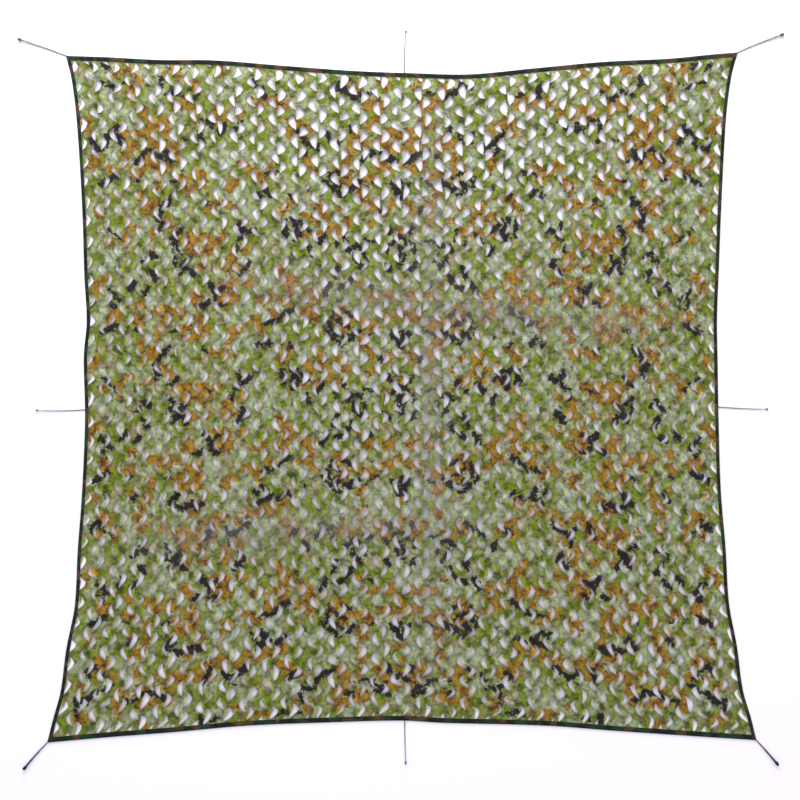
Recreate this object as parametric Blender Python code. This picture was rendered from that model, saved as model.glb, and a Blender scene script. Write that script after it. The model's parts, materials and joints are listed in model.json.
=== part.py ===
"""Square camouflage net, spread flat, with its eight tie cords drawn out straight.

The net lies on a surface in the XY plane. +Y is the net's top edge, +X its right edge and +Z points
up, away from the surface. The origin is the middle of the net, at the height of the surface.

The net is one square of leaf-cut cloth. Its cords pull at four corners and four edge middles, so
each edge runs inward between the corners in a shallow curve. A folded binding covers the raw edge.
"""

import math

import bmesh
import bpy
from mathutils import Vector

# ---------------------------------------------------------------- driving dimensions, metres
HALF_SIDE = 1.500           # half of the net's nominal 3 m, corner to corner
CLOTH_THICKNESS = 0.003     # depth of the leaf-cut cloth, flaps included
BINDING_WIDTH = 0.020       # folded tape round the edge
BINDING_THICKNESS = 0.0045  # cloth folded over the cloth
GAP = 0.0003                # clearance between neighbouring pieces
MEAN_SPAN = 2.88            # mean width of the drawn-in net, which turns widths into shares
GRID_CELLS = 42             # cells along each side of the cloth's mesh
CORNER_SEAT = 0.005         # how far each sharp corner is cut back to seat its cord

# Corners as they lie: the pull of the cords leaves them a few millimetres off square.
TOP_LEFT = Vector((-HALF_SIDE, HALF_SIDE - 0.010))
TOP_RIGHT = Vector((HALF_SIDE, HALF_SIDE + 0.005))
BOTTOM_LEFT = Vector((-HALF_SIDE, -HALF_SIDE - 0.005))
BOTTOM_RIGHT = Vector((HALF_SIDE, -HALF_SIDE + 0.005))

# How far each edge is drawn in from the straight line between its corners.
# Columns: share of the way along the edge, inset in metres.
TOP_EDGE = (  # from the left corner
    (0.00, 0.000), (0.06, 0.007), (0.14, 0.021), (0.22, 0.024), (0.33, 0.052), (0.43, 0.076),
    (0.52, 0.088), (0.60, 0.094), (0.70, 0.067), (0.80, 0.040), (0.90, 0.026), (0.97, 0.006),
    (1.00, 0.000),
)
BOTTOM_EDGE = (  # from the left corner
    (0.00, 0.000), (0.08, 0.020), (0.18, 0.042), (0.28, 0.067), (0.40, 0.080), (0.50, 0.086),
    (0.56, 0.076), (0.66, 0.068), (0.72, 0.060), (0.80, 0.041), (0.90, 0.020), (1.00, 0.000),
)
LEFT_EDGE = (  # from the top corner
    (0.00, 0.000), (0.035, 0.027), (0.09, 0.052), (0.17, 0.075), (0.25, 0.093), (0.33, 0.106),
    (0.40, 0.122), (0.45, 0.113), (0.54, 0.125), (0.65, 0.120), (0.73, 0.108), (0.81, 0.101),
    (0.87, 0.070), (0.93, 0.050), (0.97, 0.020), (1.00, 0.000),
)
RIGHT_EDGE = (  # from the top corner
    (0.00, 0.000), (0.035, 0.030), (0.09, 0.056), (0.17, 0.077), (0.25, 0.094), (0.33, 0.109),
    (0.40, 0.122), (0.46, 0.124), (0.54, 0.126), (0.65, 0.124), (0.73, 0.110), (0.81, 0.101),
    (0.87, 0.072), (0.93, 0.052), (0.97, 0.020), (1.00, 0.000),
)

# Soft fold creases left by the way the net was packed, where the cloth stands off the surface.
# Columns: start x, start y, end x, end y, height, half width, all in metres.
CREASES = (
    (0.125, 1.300, 0.115, -1.300, 0.0055, 0.075),
    (-0.800, 0.470, 1.250, 0.240, 0.0050, 0.085),
    (-1.250, -0.660, 0.450, -0.560, 0.0050, 0.080),
)
CREASE_FADE = 0.5           # power of the fade towards a crease's ends: lower ends more bluntly

# Cord sizes. Columns: diameter at the net, diameter at the knot, knot diameter, knot length.
CORNER_CORD = (0.0045, 0.0085, 0.0130, 0.0200)
EDGE_CORD = (0.0040, 0.0040, 0.0080, 0.0110)

# Corner cords. Columns: corner that it leaves, outer end of its knot, sideways bow.
CORNER_TIES = {
    "top_left": (TOP_LEFT, Vector((-1.718, 1.568)), -0.002),
    "top_right": (TOP_RIGHT, Vector((1.709, 1.590)), 0.003),
    "bottom_left": (BOTTOM_LEFT, Vector((-1.599, -1.616)), -0.002),
    "bottom_right": (BOTTOM_RIGHT, Vector((1.590, -1.598)), 0.001),
}

# Edge cords. Columns: share of the way along its edge, outer end of its knot, sideways bow.
ACROSS_SEAT = 0.504         # from the left corner
DOWN_SEAT = 0.529           # from the top corner
EDGE_TIES = {
    "top": (ACROSS_SEAT, Vector((0.018, 1.606)), 0.003),
    "bottom": (ACROSS_SEAT, Vector((0.016, -1.594)), -0.001),
    "left": (DOWN_SEAT, Vector((-1.590, -0.097)), 0.003),
    "right": (DOWN_SEAT, Vector((1.590, -0.092)), -0.002),
}
CORD_STEP = 0.013           # distance between a cord's points
CORD_BEVEL = 2              # bevel resolution of a cord: eight sides
CLIMB_START = 0.75          # share of a cord's length where it starts to climb to its knot

# Stopper knots: a barrel with a groove that winds round it.
KNOT_SIDES = 14
KNOT_RINGS = 13
KNOT_BLUNTNESS = 3          # 2 is a plain ellipse, higher is more like a barrel
KNOT_WINDS = 1.5            # turns of the groove from end to end
GROOVE_DEPTH = 0.10         # share of the knot's radius

# ---------------------------------------------------------------- materials
# Columns: name, colour, roughness.
NET_LOOK = ("net_cloth", (0.25, 0.25, 0.13), 0.85)
BINDING_LOOK = ("binding_cloth", (0.05, 0.07, 0.03), 0.80)
TOP_CORD_LOOK = ("cord_olive", (0.25, 0.26, 0.17), 0.75)
BOTTOM_CORD_LOOK = ("cord_charcoal", (0.02, 0.02, 0.02), 0.70)
EDGE_CORD_LOOK = ("cord_grey", (0.16, 0.16, 0.15), 0.75)


def material(look):
    """Return the Principled material of this name, made at its first use."""
    name, colour, roughness = look
    found = bpy.data.materials.get(name)
    if found:
        return found
    made = bpy.data.materials.new(name)
    made.use_nodes = True
    shader = made.node_tree.nodes["Principled BSDF"]
    shader.inputs["Base Color"].default_value = (*colour, 1.0)
    shader.inputs["Roughness"].default_value = roughness
    shader.inputs["Metallic"].default_value = 0.0
    return made


def add_object(name, data, look):
    """Put a mesh or a curve into the scene as an object with its material."""
    data.materials.append(material(look))
    made = bpy.data.objects.new(name, data)
    bpy.context.scene.collection.objects.link(made)
    return made


def add_mesh(name, build, look):
    """Turn a finished bmesh into an object."""
    mesh = bpy.data.meshes.new(name)
    build.to_mesh(mesh)
    build.free()
    return add_object(name, mesh, look)


def thicken(build, thickness):
    """Raise a copy of an open layer straight up and close the sides between the two."""
    layer = bmesh.ops.extrude_face_region(build, geom=list(build.faces))
    lifted = [v for v in layer["geom"] if isinstance(v, bmesh.types.BMVert)]
    bmesh.ops.translate(build, verts=lifted, vec=(0, 0, thickness))
    bmesh.ops.recalc_face_normals(build, faces=list(build.faces))


# ---------------------------------------------------------------- the net's outline
def inset_at(table, share):
    """Read an edge's inset at a share of its length, smoothly between the rows."""
    last = len(table) - 1
    row = 0
    while row < last - 1 and share > table[row + 1][0]:
        row += 1

    def slope(i):
        before = table[max(i - 1, 0)]
        after = table[min(i + 1, last)]
        return (after[1] - before[1]) / (after[0] - before[0])

    start, end = table[row], table[row + 1]
    span = end[0] - start[0]
    t = (share - start[0]) / span
    rise = (2 * t**3 - 3 * t**2 + 1) * start[1] + (-2 * t**3 + 3 * t**2) * end[1]
    ease = (t**3 - 2 * t**2 + t) * slope(row) + (t**3 - t**2) * slope(row + 1)
    return rise + ease * span


def edge_point(start, end, table, inward, share):
    """Return a point on one edge: on the line between its corners, moved inward."""
    return start.lerp(end, share) + inward * inset_at(table, share)


def top(share):
    return edge_point(TOP_LEFT, TOP_RIGHT, TOP_EDGE, Vector((0, -1)), share)


def bottom(share):
    return edge_point(BOTTOM_LEFT, BOTTOM_RIGHT, BOTTOM_EDGE, Vector((0, 1)), share)


def left(share):
    return edge_point(TOP_LEFT, BOTTOM_LEFT, LEFT_EDGE, Vector((1, 0)), share)


def right(share):
    return edge_point(TOP_RIGHT, BOTTOM_RIGHT, RIGHT_EDGE, Vector((-1, 0)), share)


def net_point(across, down):
    """Blend the four edges into one smooth sheet: across and down are shares from the top left."""
    rows = top(across).lerp(bottom(across), down)
    columns = left(down).lerp(right(down), across)
    upper = TOP_LEFT.lerp(TOP_RIGHT, across)
    lower = BOTTOM_LEFT.lerp(BOTTOM_RIGHT, across)
    return rows + columns - upper.lerp(lower, down)


BAND = BINDING_WIDTH / MEAN_SPAN
SEAM = GAP / MEAN_SPAN


def stations(first, last, seat):
    """Return shares from first to last, with one at the cord's seat, that all pieces share."""
    half_cell = 0.5 / GRID_CELLS
    even = [i / GRID_CELLS for i in range(1, GRID_CELLS)]
    inner = [seat if abs(share - seat) < half_cell else share for share in even]
    return [first] + [share for share in inner if first < share < last] + [last]


# ---------------------------------------------------------------- the net cloth
def crease_height(point):
    """Return how high the packing creases lift the cloth off the surface at a point."""
    height = 0.0
    for x0, y0, x1, y1, rise, half_width in CREASES:
        start = Vector((x0, y0))
        along = Vector((x1, y1)) - start
        share = (point - start).dot(along) / along.length_squared
        fade = math.sin(math.pi * min(max(share, 0.0), 1.0)) ** CREASE_FADE
        away = (point - start - along * share).length
        if away < half_width:
            bell = 0.5 * (1 + math.cos(math.pi * away / half_width))
            height = max(height, rise * fade * bell)
    return height


def make_net_cloth():
    """Make one sheet inside the binding, arched over each crease and flat elsewhere."""
    first, last = BAND + SEAM, 1 - BAND - SEAM
    build = bmesh.new()
    rows = []
    for down in stations(first, last, DOWN_SEAT):
        row = []
        for across in stations(first, last, ACROSS_SEAT):
            point = net_point(across, down)
            row.append(build.verts.new((point.x, point.y, crease_height(point))))
        rows.append(row)
    for upper, lower in zip(rows, rows[1:]):
        for i in range(len(upper) - 1):
            build.faces.new((upper[i], upper[i + 1], lower[i + 1], lower[i]))
    thicken(build, CLOTH_THICKNESS)
    add_mesh("net_cloth", build, NET_LOOK)


# ---------------------------------------------------------------- the binding
def make_strip(name, pairs):
    """Make one flat strip of tape from pairs of outer and inner points along it."""
    build = bmesh.new()
    ribs = []
    for outer, inner in pairs:
        ribs.append((build.verts.new((*outer, 0.0)), build.verts.new((*inner, 0.0))))
    for (outer_a, inner_a), (outer_b, inner_b) in zip(ribs, ribs[1:]):
        build.faces.new((outer_a, outer_b, inner_b, inner_a))
    thicken(build, BINDING_THICKNESS)
    add_mesh(name, build, BINDING_LOOK)


def cut_back(corner, beside, pull):
    """Return where the seat plane, square to the cord's pull, crosses the edge towards beside."""
    edge = (beside - corner).normalized()
    return corner + edge * (CORNER_SEAT / -edge.dot(pull))


NEAR_CORNER = 0.02          # share of an edge that gives its direction at the corner
SHOULDER = 0.15             # share of the first rib's spacing where the cut corner's extra rib stands


def make_long_strip(name, outer_edge, down, left_tie, right_tie):
    """Make the top or bottom strip, which runs through both corners and seats their cords."""
    pairs = []
    for share in stations(0.0, 1.0, ACROSS_SEAT):
        pairs.append((outer_edge(share), net_point(share, down)))

    def cut_corner(tie, near, inner_corner, next_inner):
        corner, target, _ = tie
        pull = (target - corner).normalized()
        on_side = cut_back(corner, inner_corner, pull)
        on_edge = cut_back(corner, outer_edge(near), pull)
        return (on_side, inner_corner), (on_edge, inner_corner.lerp(next_inner, SHOULDER))

    end, beside = cut_corner(left_tie, NEAR_CORNER, pairs[0][1], pairs[1][1])
    last_end, last_beside = cut_corner(right_tie, 1 - NEAR_CORNER, pairs[-1][1], pairs[-2][1])
    make_strip(name, [end, beside] + pairs[1:-1] + [last_beside, last_end])


def make_side_strip(name, outer_edge, across):
    """Make the left or right strip, which ends just short of the top and bottom strips."""
    pairs = []
    for share in stations(BAND + SEAM, 1 - BAND - SEAM, DOWN_SEAT):
        pairs.append((outer_edge(share), net_point(across, share)))
    make_strip(name, pairs)


# ---------------------------------------------------------------- tie cords and their knots
def make_cord(name, start, end, bow, radii, knot_height, look):
    """Make a round cord that lies on the surface, thickens outward and climbs to its knot."""
    first_radius, last_radius = radii
    along = end - start
    side = Vector((-along.y, along.x)).normalized()
    count = int(along.length / CORD_STEP)
    curve = bpy.data.curves.new(name, "CURVE")
    curve.dimensions = "3D"
    curve.bevel_depth = last_radius
    curve.bevel_resolution = CORD_BEVEL
    curve.use_fill_caps = True
    spline = curve.splines.new("POLY")
    spline.points.add(count)
    for i in range(count + 1):
        share = i / count
        flat = start + along * share + side * bow * math.sin(math.pi * share)
        radius = first_radius + (last_radius - first_radius) * share
        t = max(0.0, (share - CLIMB_START) / (1 - CLIMB_START))
        climb = t * t * (3 - 2 * t) * (knot_height - last_radius)
        spline.points[i].co = (flat.x, flat.y, radius + climb, 1.0)
        spline.points[i].radius = radius / last_radius
    add_object(name, curve, look)


def make_knot(name, centre, pull, radius, length, look):
    """Make a stopper knot: a short barrel with wound turns, its axis along the cord."""
    build = bmesh.new()
    bmesh.ops.create_uvsphere(build, u_segments=KNOT_SIDES, v_segments=KNOT_RINGS, radius=1.0)
    for vert in build.verts:
        height = vert.co.z
        around = math.atan2(vert.co.y, vert.co.x)
        barrel = max(0.0, 1 - abs(height) ** KNOT_BLUNTNESS) ** 0.5
        groove = 0.5 + 0.5 * math.cos(math.pi * 2 * KNOT_WINDS * height + around)
        reach = radius * barrel * (1 - GROOVE_DEPTH * groove)
        vert.co = (reach * math.cos(around), reach * math.sin(around), height * length / 2)
    knot = add_mesh(name, build, look)
    knot.data.shade_smooth()
    knot.rotation_euler = Vector((*pull, 0.0)).to_track_quat("Z", "Y").to_euler()
    knot.location = centre


def make_tie(name, seat, target, bow, sizes, look):
    """Make one cord from its seat on the binding to its knot, which lies on the surface."""
    first_diameter, last_diameter, knot_diameter, knot_length = sizes
    pull = (target - seat).normalized()
    start = seat + pull * GAP
    end = target - pull * (knot_length + GAP)
    knot_height = knot_diameter / 2
    radii = (first_diameter / 2, last_diameter / 2)
    make_cord(f"tie_{name}", start, end, bow, radii, knot_height, look)
    middle = target - pull * knot_length / 2
    make_knot(f"knot_{name}", (*middle, knot_height), pull, knot_diameter / 2, knot_length, look)


def make_ties():
    """Make the eight cords, each with its knot."""
    for name, (corner, target, bow) in CORNER_TIES.items():
        pull = (target - corner).normalized()
        look = TOP_CORD_LOOK if name.startswith("top") else BOTTOM_CORD_LOOK
        make_tie(name, corner - pull * CORNER_SEAT, target, bow, CORNER_CORD, look)
    edges = {"top": top, "bottom": bottom, "left": left, "right": right}
    for name, (share, target, bow) in EDGE_TIES.items():
        make_tie(f"{name}_edge", edges[name](share), target, bow, EDGE_CORD, EDGE_CORD_LOOK)


# ---------------------------------------------------------------- build
def main():
    for old in list(bpy.data.objects):
        bpy.data.objects.remove(old)
    ties = CORNER_TIES
    make_net_cloth()
    make_long_strip("binding_top", top, BAND, ties["top_left"], ties["top_right"])
    make_long_strip("binding_bottom", bottom, 1 - BAND, ties["bottom_left"], ties["bottom_right"])
    make_side_strip("binding_left", left, BAND)
    make_side_strip("binding_right", right, 1 - BAND)
    make_ties()


main()
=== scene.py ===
# %% [markdown]
# # A leaf-cut camouflage net, laid out flat
#
# The object is a 3 m square of printed cloth with about two thousand small leaf cuts. The cloth is
# pulled open by cords at its corners and edge middles, so every cut gapes a little and its leaf
# lifts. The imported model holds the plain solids; this lesson dresses them with the finished cloth,
# its tape, its stitches and its cords. All sizes are in metres, and the net lies on z = 0.

# %% Load the frame
import json
import math

import bpy
import numpy as np
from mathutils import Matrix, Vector

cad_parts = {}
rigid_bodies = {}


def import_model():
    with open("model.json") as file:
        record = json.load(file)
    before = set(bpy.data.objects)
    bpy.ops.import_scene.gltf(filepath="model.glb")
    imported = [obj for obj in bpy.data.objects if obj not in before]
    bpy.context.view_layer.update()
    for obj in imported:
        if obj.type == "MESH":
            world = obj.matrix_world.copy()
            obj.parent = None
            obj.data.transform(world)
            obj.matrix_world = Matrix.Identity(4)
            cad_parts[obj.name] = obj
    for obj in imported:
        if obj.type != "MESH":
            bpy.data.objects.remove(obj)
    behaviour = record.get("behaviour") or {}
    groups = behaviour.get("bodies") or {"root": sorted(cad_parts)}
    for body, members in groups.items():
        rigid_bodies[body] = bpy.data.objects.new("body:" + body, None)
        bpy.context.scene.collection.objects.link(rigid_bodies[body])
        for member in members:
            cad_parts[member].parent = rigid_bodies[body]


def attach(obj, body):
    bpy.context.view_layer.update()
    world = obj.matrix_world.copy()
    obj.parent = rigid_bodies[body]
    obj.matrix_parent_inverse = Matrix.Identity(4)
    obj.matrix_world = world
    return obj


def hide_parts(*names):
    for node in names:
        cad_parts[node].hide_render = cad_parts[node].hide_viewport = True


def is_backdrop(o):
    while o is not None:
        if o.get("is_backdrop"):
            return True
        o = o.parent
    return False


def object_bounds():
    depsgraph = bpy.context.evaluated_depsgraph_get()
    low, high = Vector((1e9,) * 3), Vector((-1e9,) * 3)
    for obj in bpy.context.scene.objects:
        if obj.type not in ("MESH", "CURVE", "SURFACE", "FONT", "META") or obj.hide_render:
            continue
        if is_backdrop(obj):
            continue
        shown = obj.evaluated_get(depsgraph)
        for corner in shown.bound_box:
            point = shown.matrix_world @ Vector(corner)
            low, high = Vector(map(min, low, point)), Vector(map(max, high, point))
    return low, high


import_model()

CAD_LOW, CAD_HIGH = (Vector(corner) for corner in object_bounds())
print("CAD box, m:", [round(v, 3) for v in CAD_LOW], [round(v, 3) for v in CAD_HIGH])

# %% [markdown]
# ## Camera
#
# The picture was taken almost straight on, from 4.7 m, with the camera leaning 4.9 degrees. For a
# net on the floor this is a camera that hangs over it and looks down. The small shift keeps the
# net's middle where it is in the frame.

# %% Camera
IMAGE_SIDE = 800                 # pixels
FOCAL_PIXELS = 1079.9            # focal length in pixels of that image
SENSOR = 36.0                    # mm
CAMERA_DISTANCE = 4.70
CAMERA_LEAN = math.radians(4.89)
NET_CENTRE_PIXEL = (401.9, 388.2)

camera_data = bpy.data.cameras.new("camera")
camera = bpy.data.objects.new("camera", camera_data)
bpy.context.scene.collection.objects.link(camera)
camera.location = (0, -CAMERA_DISTANCE * math.sin(CAMERA_LEAN), CAMERA_DISTANCE * math.cos(CAMERA_LEAN))
camera.rotation_euler = (CAMERA_LEAN, 0, 0)
camera_data.sensor_width = SENSOR
camera_data.lens = SENSOR * FOCAL_PIXELS / IMAGE_SIDE
camera_data.shift_x = (IMAGE_SIDE / 2 - NET_CENTRE_PIXEL[0]) / IMAGE_SIDE
camera_data.shift_y = (NET_CENTRE_PIXEL[1] - IMAGE_SIDE / 2) / IMAGE_SIDE
bpy.context.scene.camera = camera
print("lens, mm:", round(camera_data.lens, 2))

# %% [markdown]
# ## Small helpers for modelling
#
# Operators act on whatever is selected, so every step starts from a clean selection.

# %% Modelling helpers
SMOOTH_ANGLE = math.radians(50)  # faces that meet at less than this are shaded as one surface


def deselect_all():
    """Leave nothing selected."""
    for other in bpy.context.view_layer.objects:
        other.select_set(False)


def make_active(piece):
    """Select this one object only, ready for an operator."""
    deselect_all()
    piece.hide_set(False)
    piece.select_set(True)
    bpy.context.view_layer.objects.active = piece


def edit_all(piece, operator, **settings):
    """Run one edit-mode operator on the whole of a piece's mesh."""
    make_active(piece)
    bpy.ops.object.mode_set(mode="EDIT")
    bpy.ops.mesh.select_all(action="SELECT")
    operator(**settings)
    bpy.ops.object.mode_set(mode="OBJECT")


def apply_modifier(piece, kind, **settings):
    """Add one modifier, set it and apply it."""
    make_active(piece)
    modifier = piece.modifiers.new(kind.lower(), kind)
    for name, value in settings.items():
        setattr(modifier, name, value)
    bpy.ops.object.modifier_apply(modifier=modifier.name)


def get_points(piece):
    """Return the mesh's points as an array with a row for each."""
    points = np.empty(len(piece.data.vertices) * 3)
    piece.data.vertices.foreach_get("co", points)
    return points.reshape(-1, 3)


def set_points(piece, points):
    """Put the mesh's points where the array says."""
    piece.data.vertices.foreach_set("co", np.ascontiguousarray(points, dtype=np.float32).ravel())
    piece.data.update()


def store_values(piece, name, values):
    """Keep one number for each point as a named attribute, which materials can read."""
    attribute = piece.data.attributes.get(name) or piece.data.attributes.new(name, "FLOAT", "POINT")
    attribute.data.foreach_set("value", np.ascontiguousarray(values, dtype=np.float32))


def read_values(piece, name):
    """Read a named attribute back as an array."""
    values = np.empty(len(piece.data.vertices), dtype=np.float32)
    piece.data.attributes[name].data.foreach_get("value", values)
    return values


def triangle_count(piece):
    """Count the piece's triangles."""
    return sum(len(polygon.vertices) - 2 for polygon in piece.data.polygons)


# %% [markdown]
# ## The net's outline
#
# Cords pull at the corners and edge middles, and the edges run inward between the corners. Each
# edge is a short table: how far it is drawn in at a share of its length. A smooth curve runs
# through the rows, and the four edges are blended into one sheet, so every leaf knows its place.

# %% Outline tables
HALF_SIDE = 1.500
BINDING_WIDTH = 0.020
MEAN_SPAN = 2.88
BAND = BINDING_WIDTH / MEAN_SPAN

CORNERS = {
    "top_left": (-HALF_SIDE, HALF_SIDE - 0.010),
    "top_right": (HALF_SIDE, HALF_SIDE + 0.005),
    "bottom_left": (-HALF_SIDE, -HALF_SIDE - 0.005),
    "bottom_right": (HALF_SIDE, -HALF_SIDE + 0.005),
}

# Columns: share of the way along the edge, inset in metres.
TOP_EDGE = (
    (0.00, 0.000), (0.06, 0.007), (0.14, 0.021), (0.22, 0.024), (0.33, 0.052), (0.43, 0.076),
    (0.52, 0.088), (0.60, 0.094), (0.70, 0.067), (0.80, 0.040), (0.90, 0.026), (0.97, 0.006),
    (1.00, 0.000),
)
BOTTOM_EDGE = (
    (0.00, 0.000), (0.08, 0.020), (0.18, 0.042), (0.28, 0.067), (0.40, 0.080), (0.50, 0.086),
    (0.56, 0.076), (0.66, 0.068), (0.72, 0.060), (0.80, 0.041), (0.90, 0.020), (1.00, 0.000),
)
LEFT_EDGE = (
    (0.00, 0.000), (0.035, 0.027), (0.09, 0.052), (0.17, 0.075), (0.25, 0.093), (0.33, 0.106),
    (0.40, 0.122), (0.45, 0.113), (0.54, 0.125), (0.65, 0.120), (0.73, 0.108), (0.81, 0.101),
    (0.87, 0.070), (0.93, 0.050), (0.97, 0.020), (1.00, 0.000),
)
RIGHT_EDGE = (
    (0.00, 0.000), (0.035, 0.030), (0.09, 0.056), (0.17, 0.077), (0.25, 0.094), (0.33, 0.109),
    (0.40, 0.122), (0.46, 0.124), (0.54, 0.126), (0.65, 0.124), (0.73, 0.110), (0.81, 0.101),
    (0.87, 0.072), (0.93, 0.052), (0.97, 0.020), (1.00, 0.000),
)


# %% Outline functions
def inset_along(table, share):
    """Read an edge's inset at each share of its length, smoothly between the rows."""
    at, inset = np.array(table).T
    last = len(at) - 1
    before = np.maximum(np.arange(last + 1) - 1, 0)
    after = np.minimum(np.arange(last + 1) + 1, last)
    slope = (inset[after] - inset[before]) / (at[after] - at[before])
    row = np.clip(np.searchsorted(at, share, side="right") - 1, 0, last - 1)
    span = at[row + 1] - at[row]
    t = (share - at[row]) / span
    rise = (2 * t**3 - 3 * t**2 + 1) * inset[row] + (-2 * t**3 + 3 * t**2) * inset[row + 1]
    ease = (t**3 - 2 * t**2 + t) * slope[row] + (t**3 - t**2) * slope[row + 1]
    return rise + ease * span


def edge_line(start, end, table, inward, share):
    """Return points on one edge: on the line between its corners, moved inward."""
    share = np.atleast_1d(np.asarray(share, dtype=float))[:, None]
    start, end = np.array(CORNERS[start]), np.array(CORNERS[end])
    return start + (end - start) * share + np.array(inward) * inset_along(table, share)


def top(share):
    return edge_line("top_left", "top_right", TOP_EDGE, (0, -1), share)


def bottom(share):
    return edge_line("bottom_left", "bottom_right", BOTTOM_EDGE, (0, 1), share)


def left(share):
    return edge_line("top_left", "bottom_left", LEFT_EDGE, (1, 0), share)


def right(share):
    return edge_line("top_right", "bottom_right", RIGHT_EDGE, (-1, 0), share)


def net_points(across, down):
    """Blend the four edges: across and down are shares from the top left corner."""
    across = np.atleast_1d(np.asarray(across, dtype=float))
    down = np.atleast_1d(np.asarray(down, dtype=float))
    u, v = across[:, None], down[:, None]
    corner = {name: np.array(place) for name, place in CORNERS.items()}
    rows = top(across) * (1 - v) + bottom(across) * v
    columns = left(down) * (1 - u) + right(down) * u
    upper = corner["top_left"] * (1 - u) + corner["top_right"] * u
    lower = corner["bottom_left"] * (1 - u) + corner["bottom_right"] * u
    return rows + columns - upper * (1 - v) - lower * v


print("middle of the net:", net_points(0.5, 0.5).round(3).tolist())

# %% [markdown]
# ## One leaf cut
#
# Each cut is a chevron. The cloth inside its bend is the leaf, and its tip stands up when the
# cloth is pulled open. The cuts stand in columns that point right and left by turns, each column
# half a pitch lower than the last. One window of cloth is modelled round one cut: a loop of edges
# takes the window's outline, is extruded inward three times, and the innermost loop becomes the
# lip of the cut. The wide form of the cut is kept beside the narrow one as an attribute, so that
# the cloth can be opened more in one place than in another.

# %% Sizes of one window
WINDOW_WIDTH = 0.0455            # two columns of cuts make one cell
WINDOW_HEIGHT = 0.0850
LOOP_POINTS = 24                 # 4 along the top and the bottom, 8 down each side
LOOP_SCALES = (1.0, 0.80, 0.64, 0.512)
LOOP_BLENDS = (0.0, 0.42, 0.78, 1.0)     # how far each loop has taken the shape of the cut
LOOP_RISES = (0.0, 0.0, 0.55, 1.0)       # how far each loop has taken the height of the lip

# The lip of a cut that points right, from its upper end clockwise. The window's middle is 0, 0.
# Columns: loop point it belongs to, narrow x, narrow y, wide x, wide y, height; all in mm.
LIP_ROWS = (
    (1, -6, 32, -9, 33, 2.0),
    (4, 3, 23, 2, 25, 1.2),
    (7, 15, 8, 17, 10, 0.9),
    (10, 8, -4, 11, -5, 0.9),
    (13, -5, -17, -2, -18, 1.0),
    (16, -20, -29, -19, -30, 1.6),
    (18, -16, -19, -21, -15, 4.5),
    (20, -4, -6, -18, 0, 7.5),
    (22, 5, 8, -13, 13, 9.5),
    (23, 1, 20, -10, 25, 6.0),
)
STRAND_HEIGHT = 0.0030           # height of the strands between the windows
CUT_ENDS = (0.5, 15.5)           # loop points at the two ends of the cut, where the cloth gets painted shade
END_SPREAD = 2.2                 # loop points
STRAND_SHADE_SHARE = 0.45              # how much of that painted shade reaches the strands between the windows
# The leaf's tip gets a painted highlight, and the cloth across the cut from it gets painted shade.
LEAF_MIDDLE = 21                 # loop point at the leaf's tip
LEAF_SPREAD = 3.0
OUTER_MIDDLE = 8                 # loop point across the cut from the leaf's tip
OUTER_SPREAD = 3.5
OUTER_SHADE = 0.8                # painted shade: how dark that side is against the leaf's painted highlight
SAME_PLACE = 1e-5                # points nearer than this are the same one


def loop_place(index):
    """Return where a loop point stands on the window's outline, clockwise from the top left."""
    half_w, half_h = WINDOW_WIDTH / 2, WINDOW_HEIGHT / 2
    index %= LOOP_POINTS
    if index <= 4:
        return (-half_w + WINDOW_WIDTH * index / 4, half_h)
    if index <= 12:
        return (half_w, half_h - WINDOW_HEIGHT * (index - 4) / 8)
    if index <= 16:
        return (half_w - WINDOW_WIDTH * (index - 12) / 4, -half_h)
    return (-half_w, -half_h + WINDOW_HEIGHT * (index - 16) / 8)


def lip_values(column):
    """Read one column of the lip's table at all the loop points, in metres."""
    at = [row[0] for row in LIP_ROWS]
    values = [row[column] / 1000 for row in LIP_ROWS]
    at = [at[-1] - LOOP_POINTS, *at, at[0] + LOOP_POINTS]
    values = [values[-1], *values, values[0]]
    return np.interp(np.arange(LOOP_POINTS), at, values)


def near_point(index, middle, spread):
    """Return 1 at a loop point and less away from it, round the loop."""
    steps = abs(index - middle) % LOOP_POINTS
    steps = min(steps, LOOP_POINTS - steps)
    return math.exp(-((steps / spread) ** 2))


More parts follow.
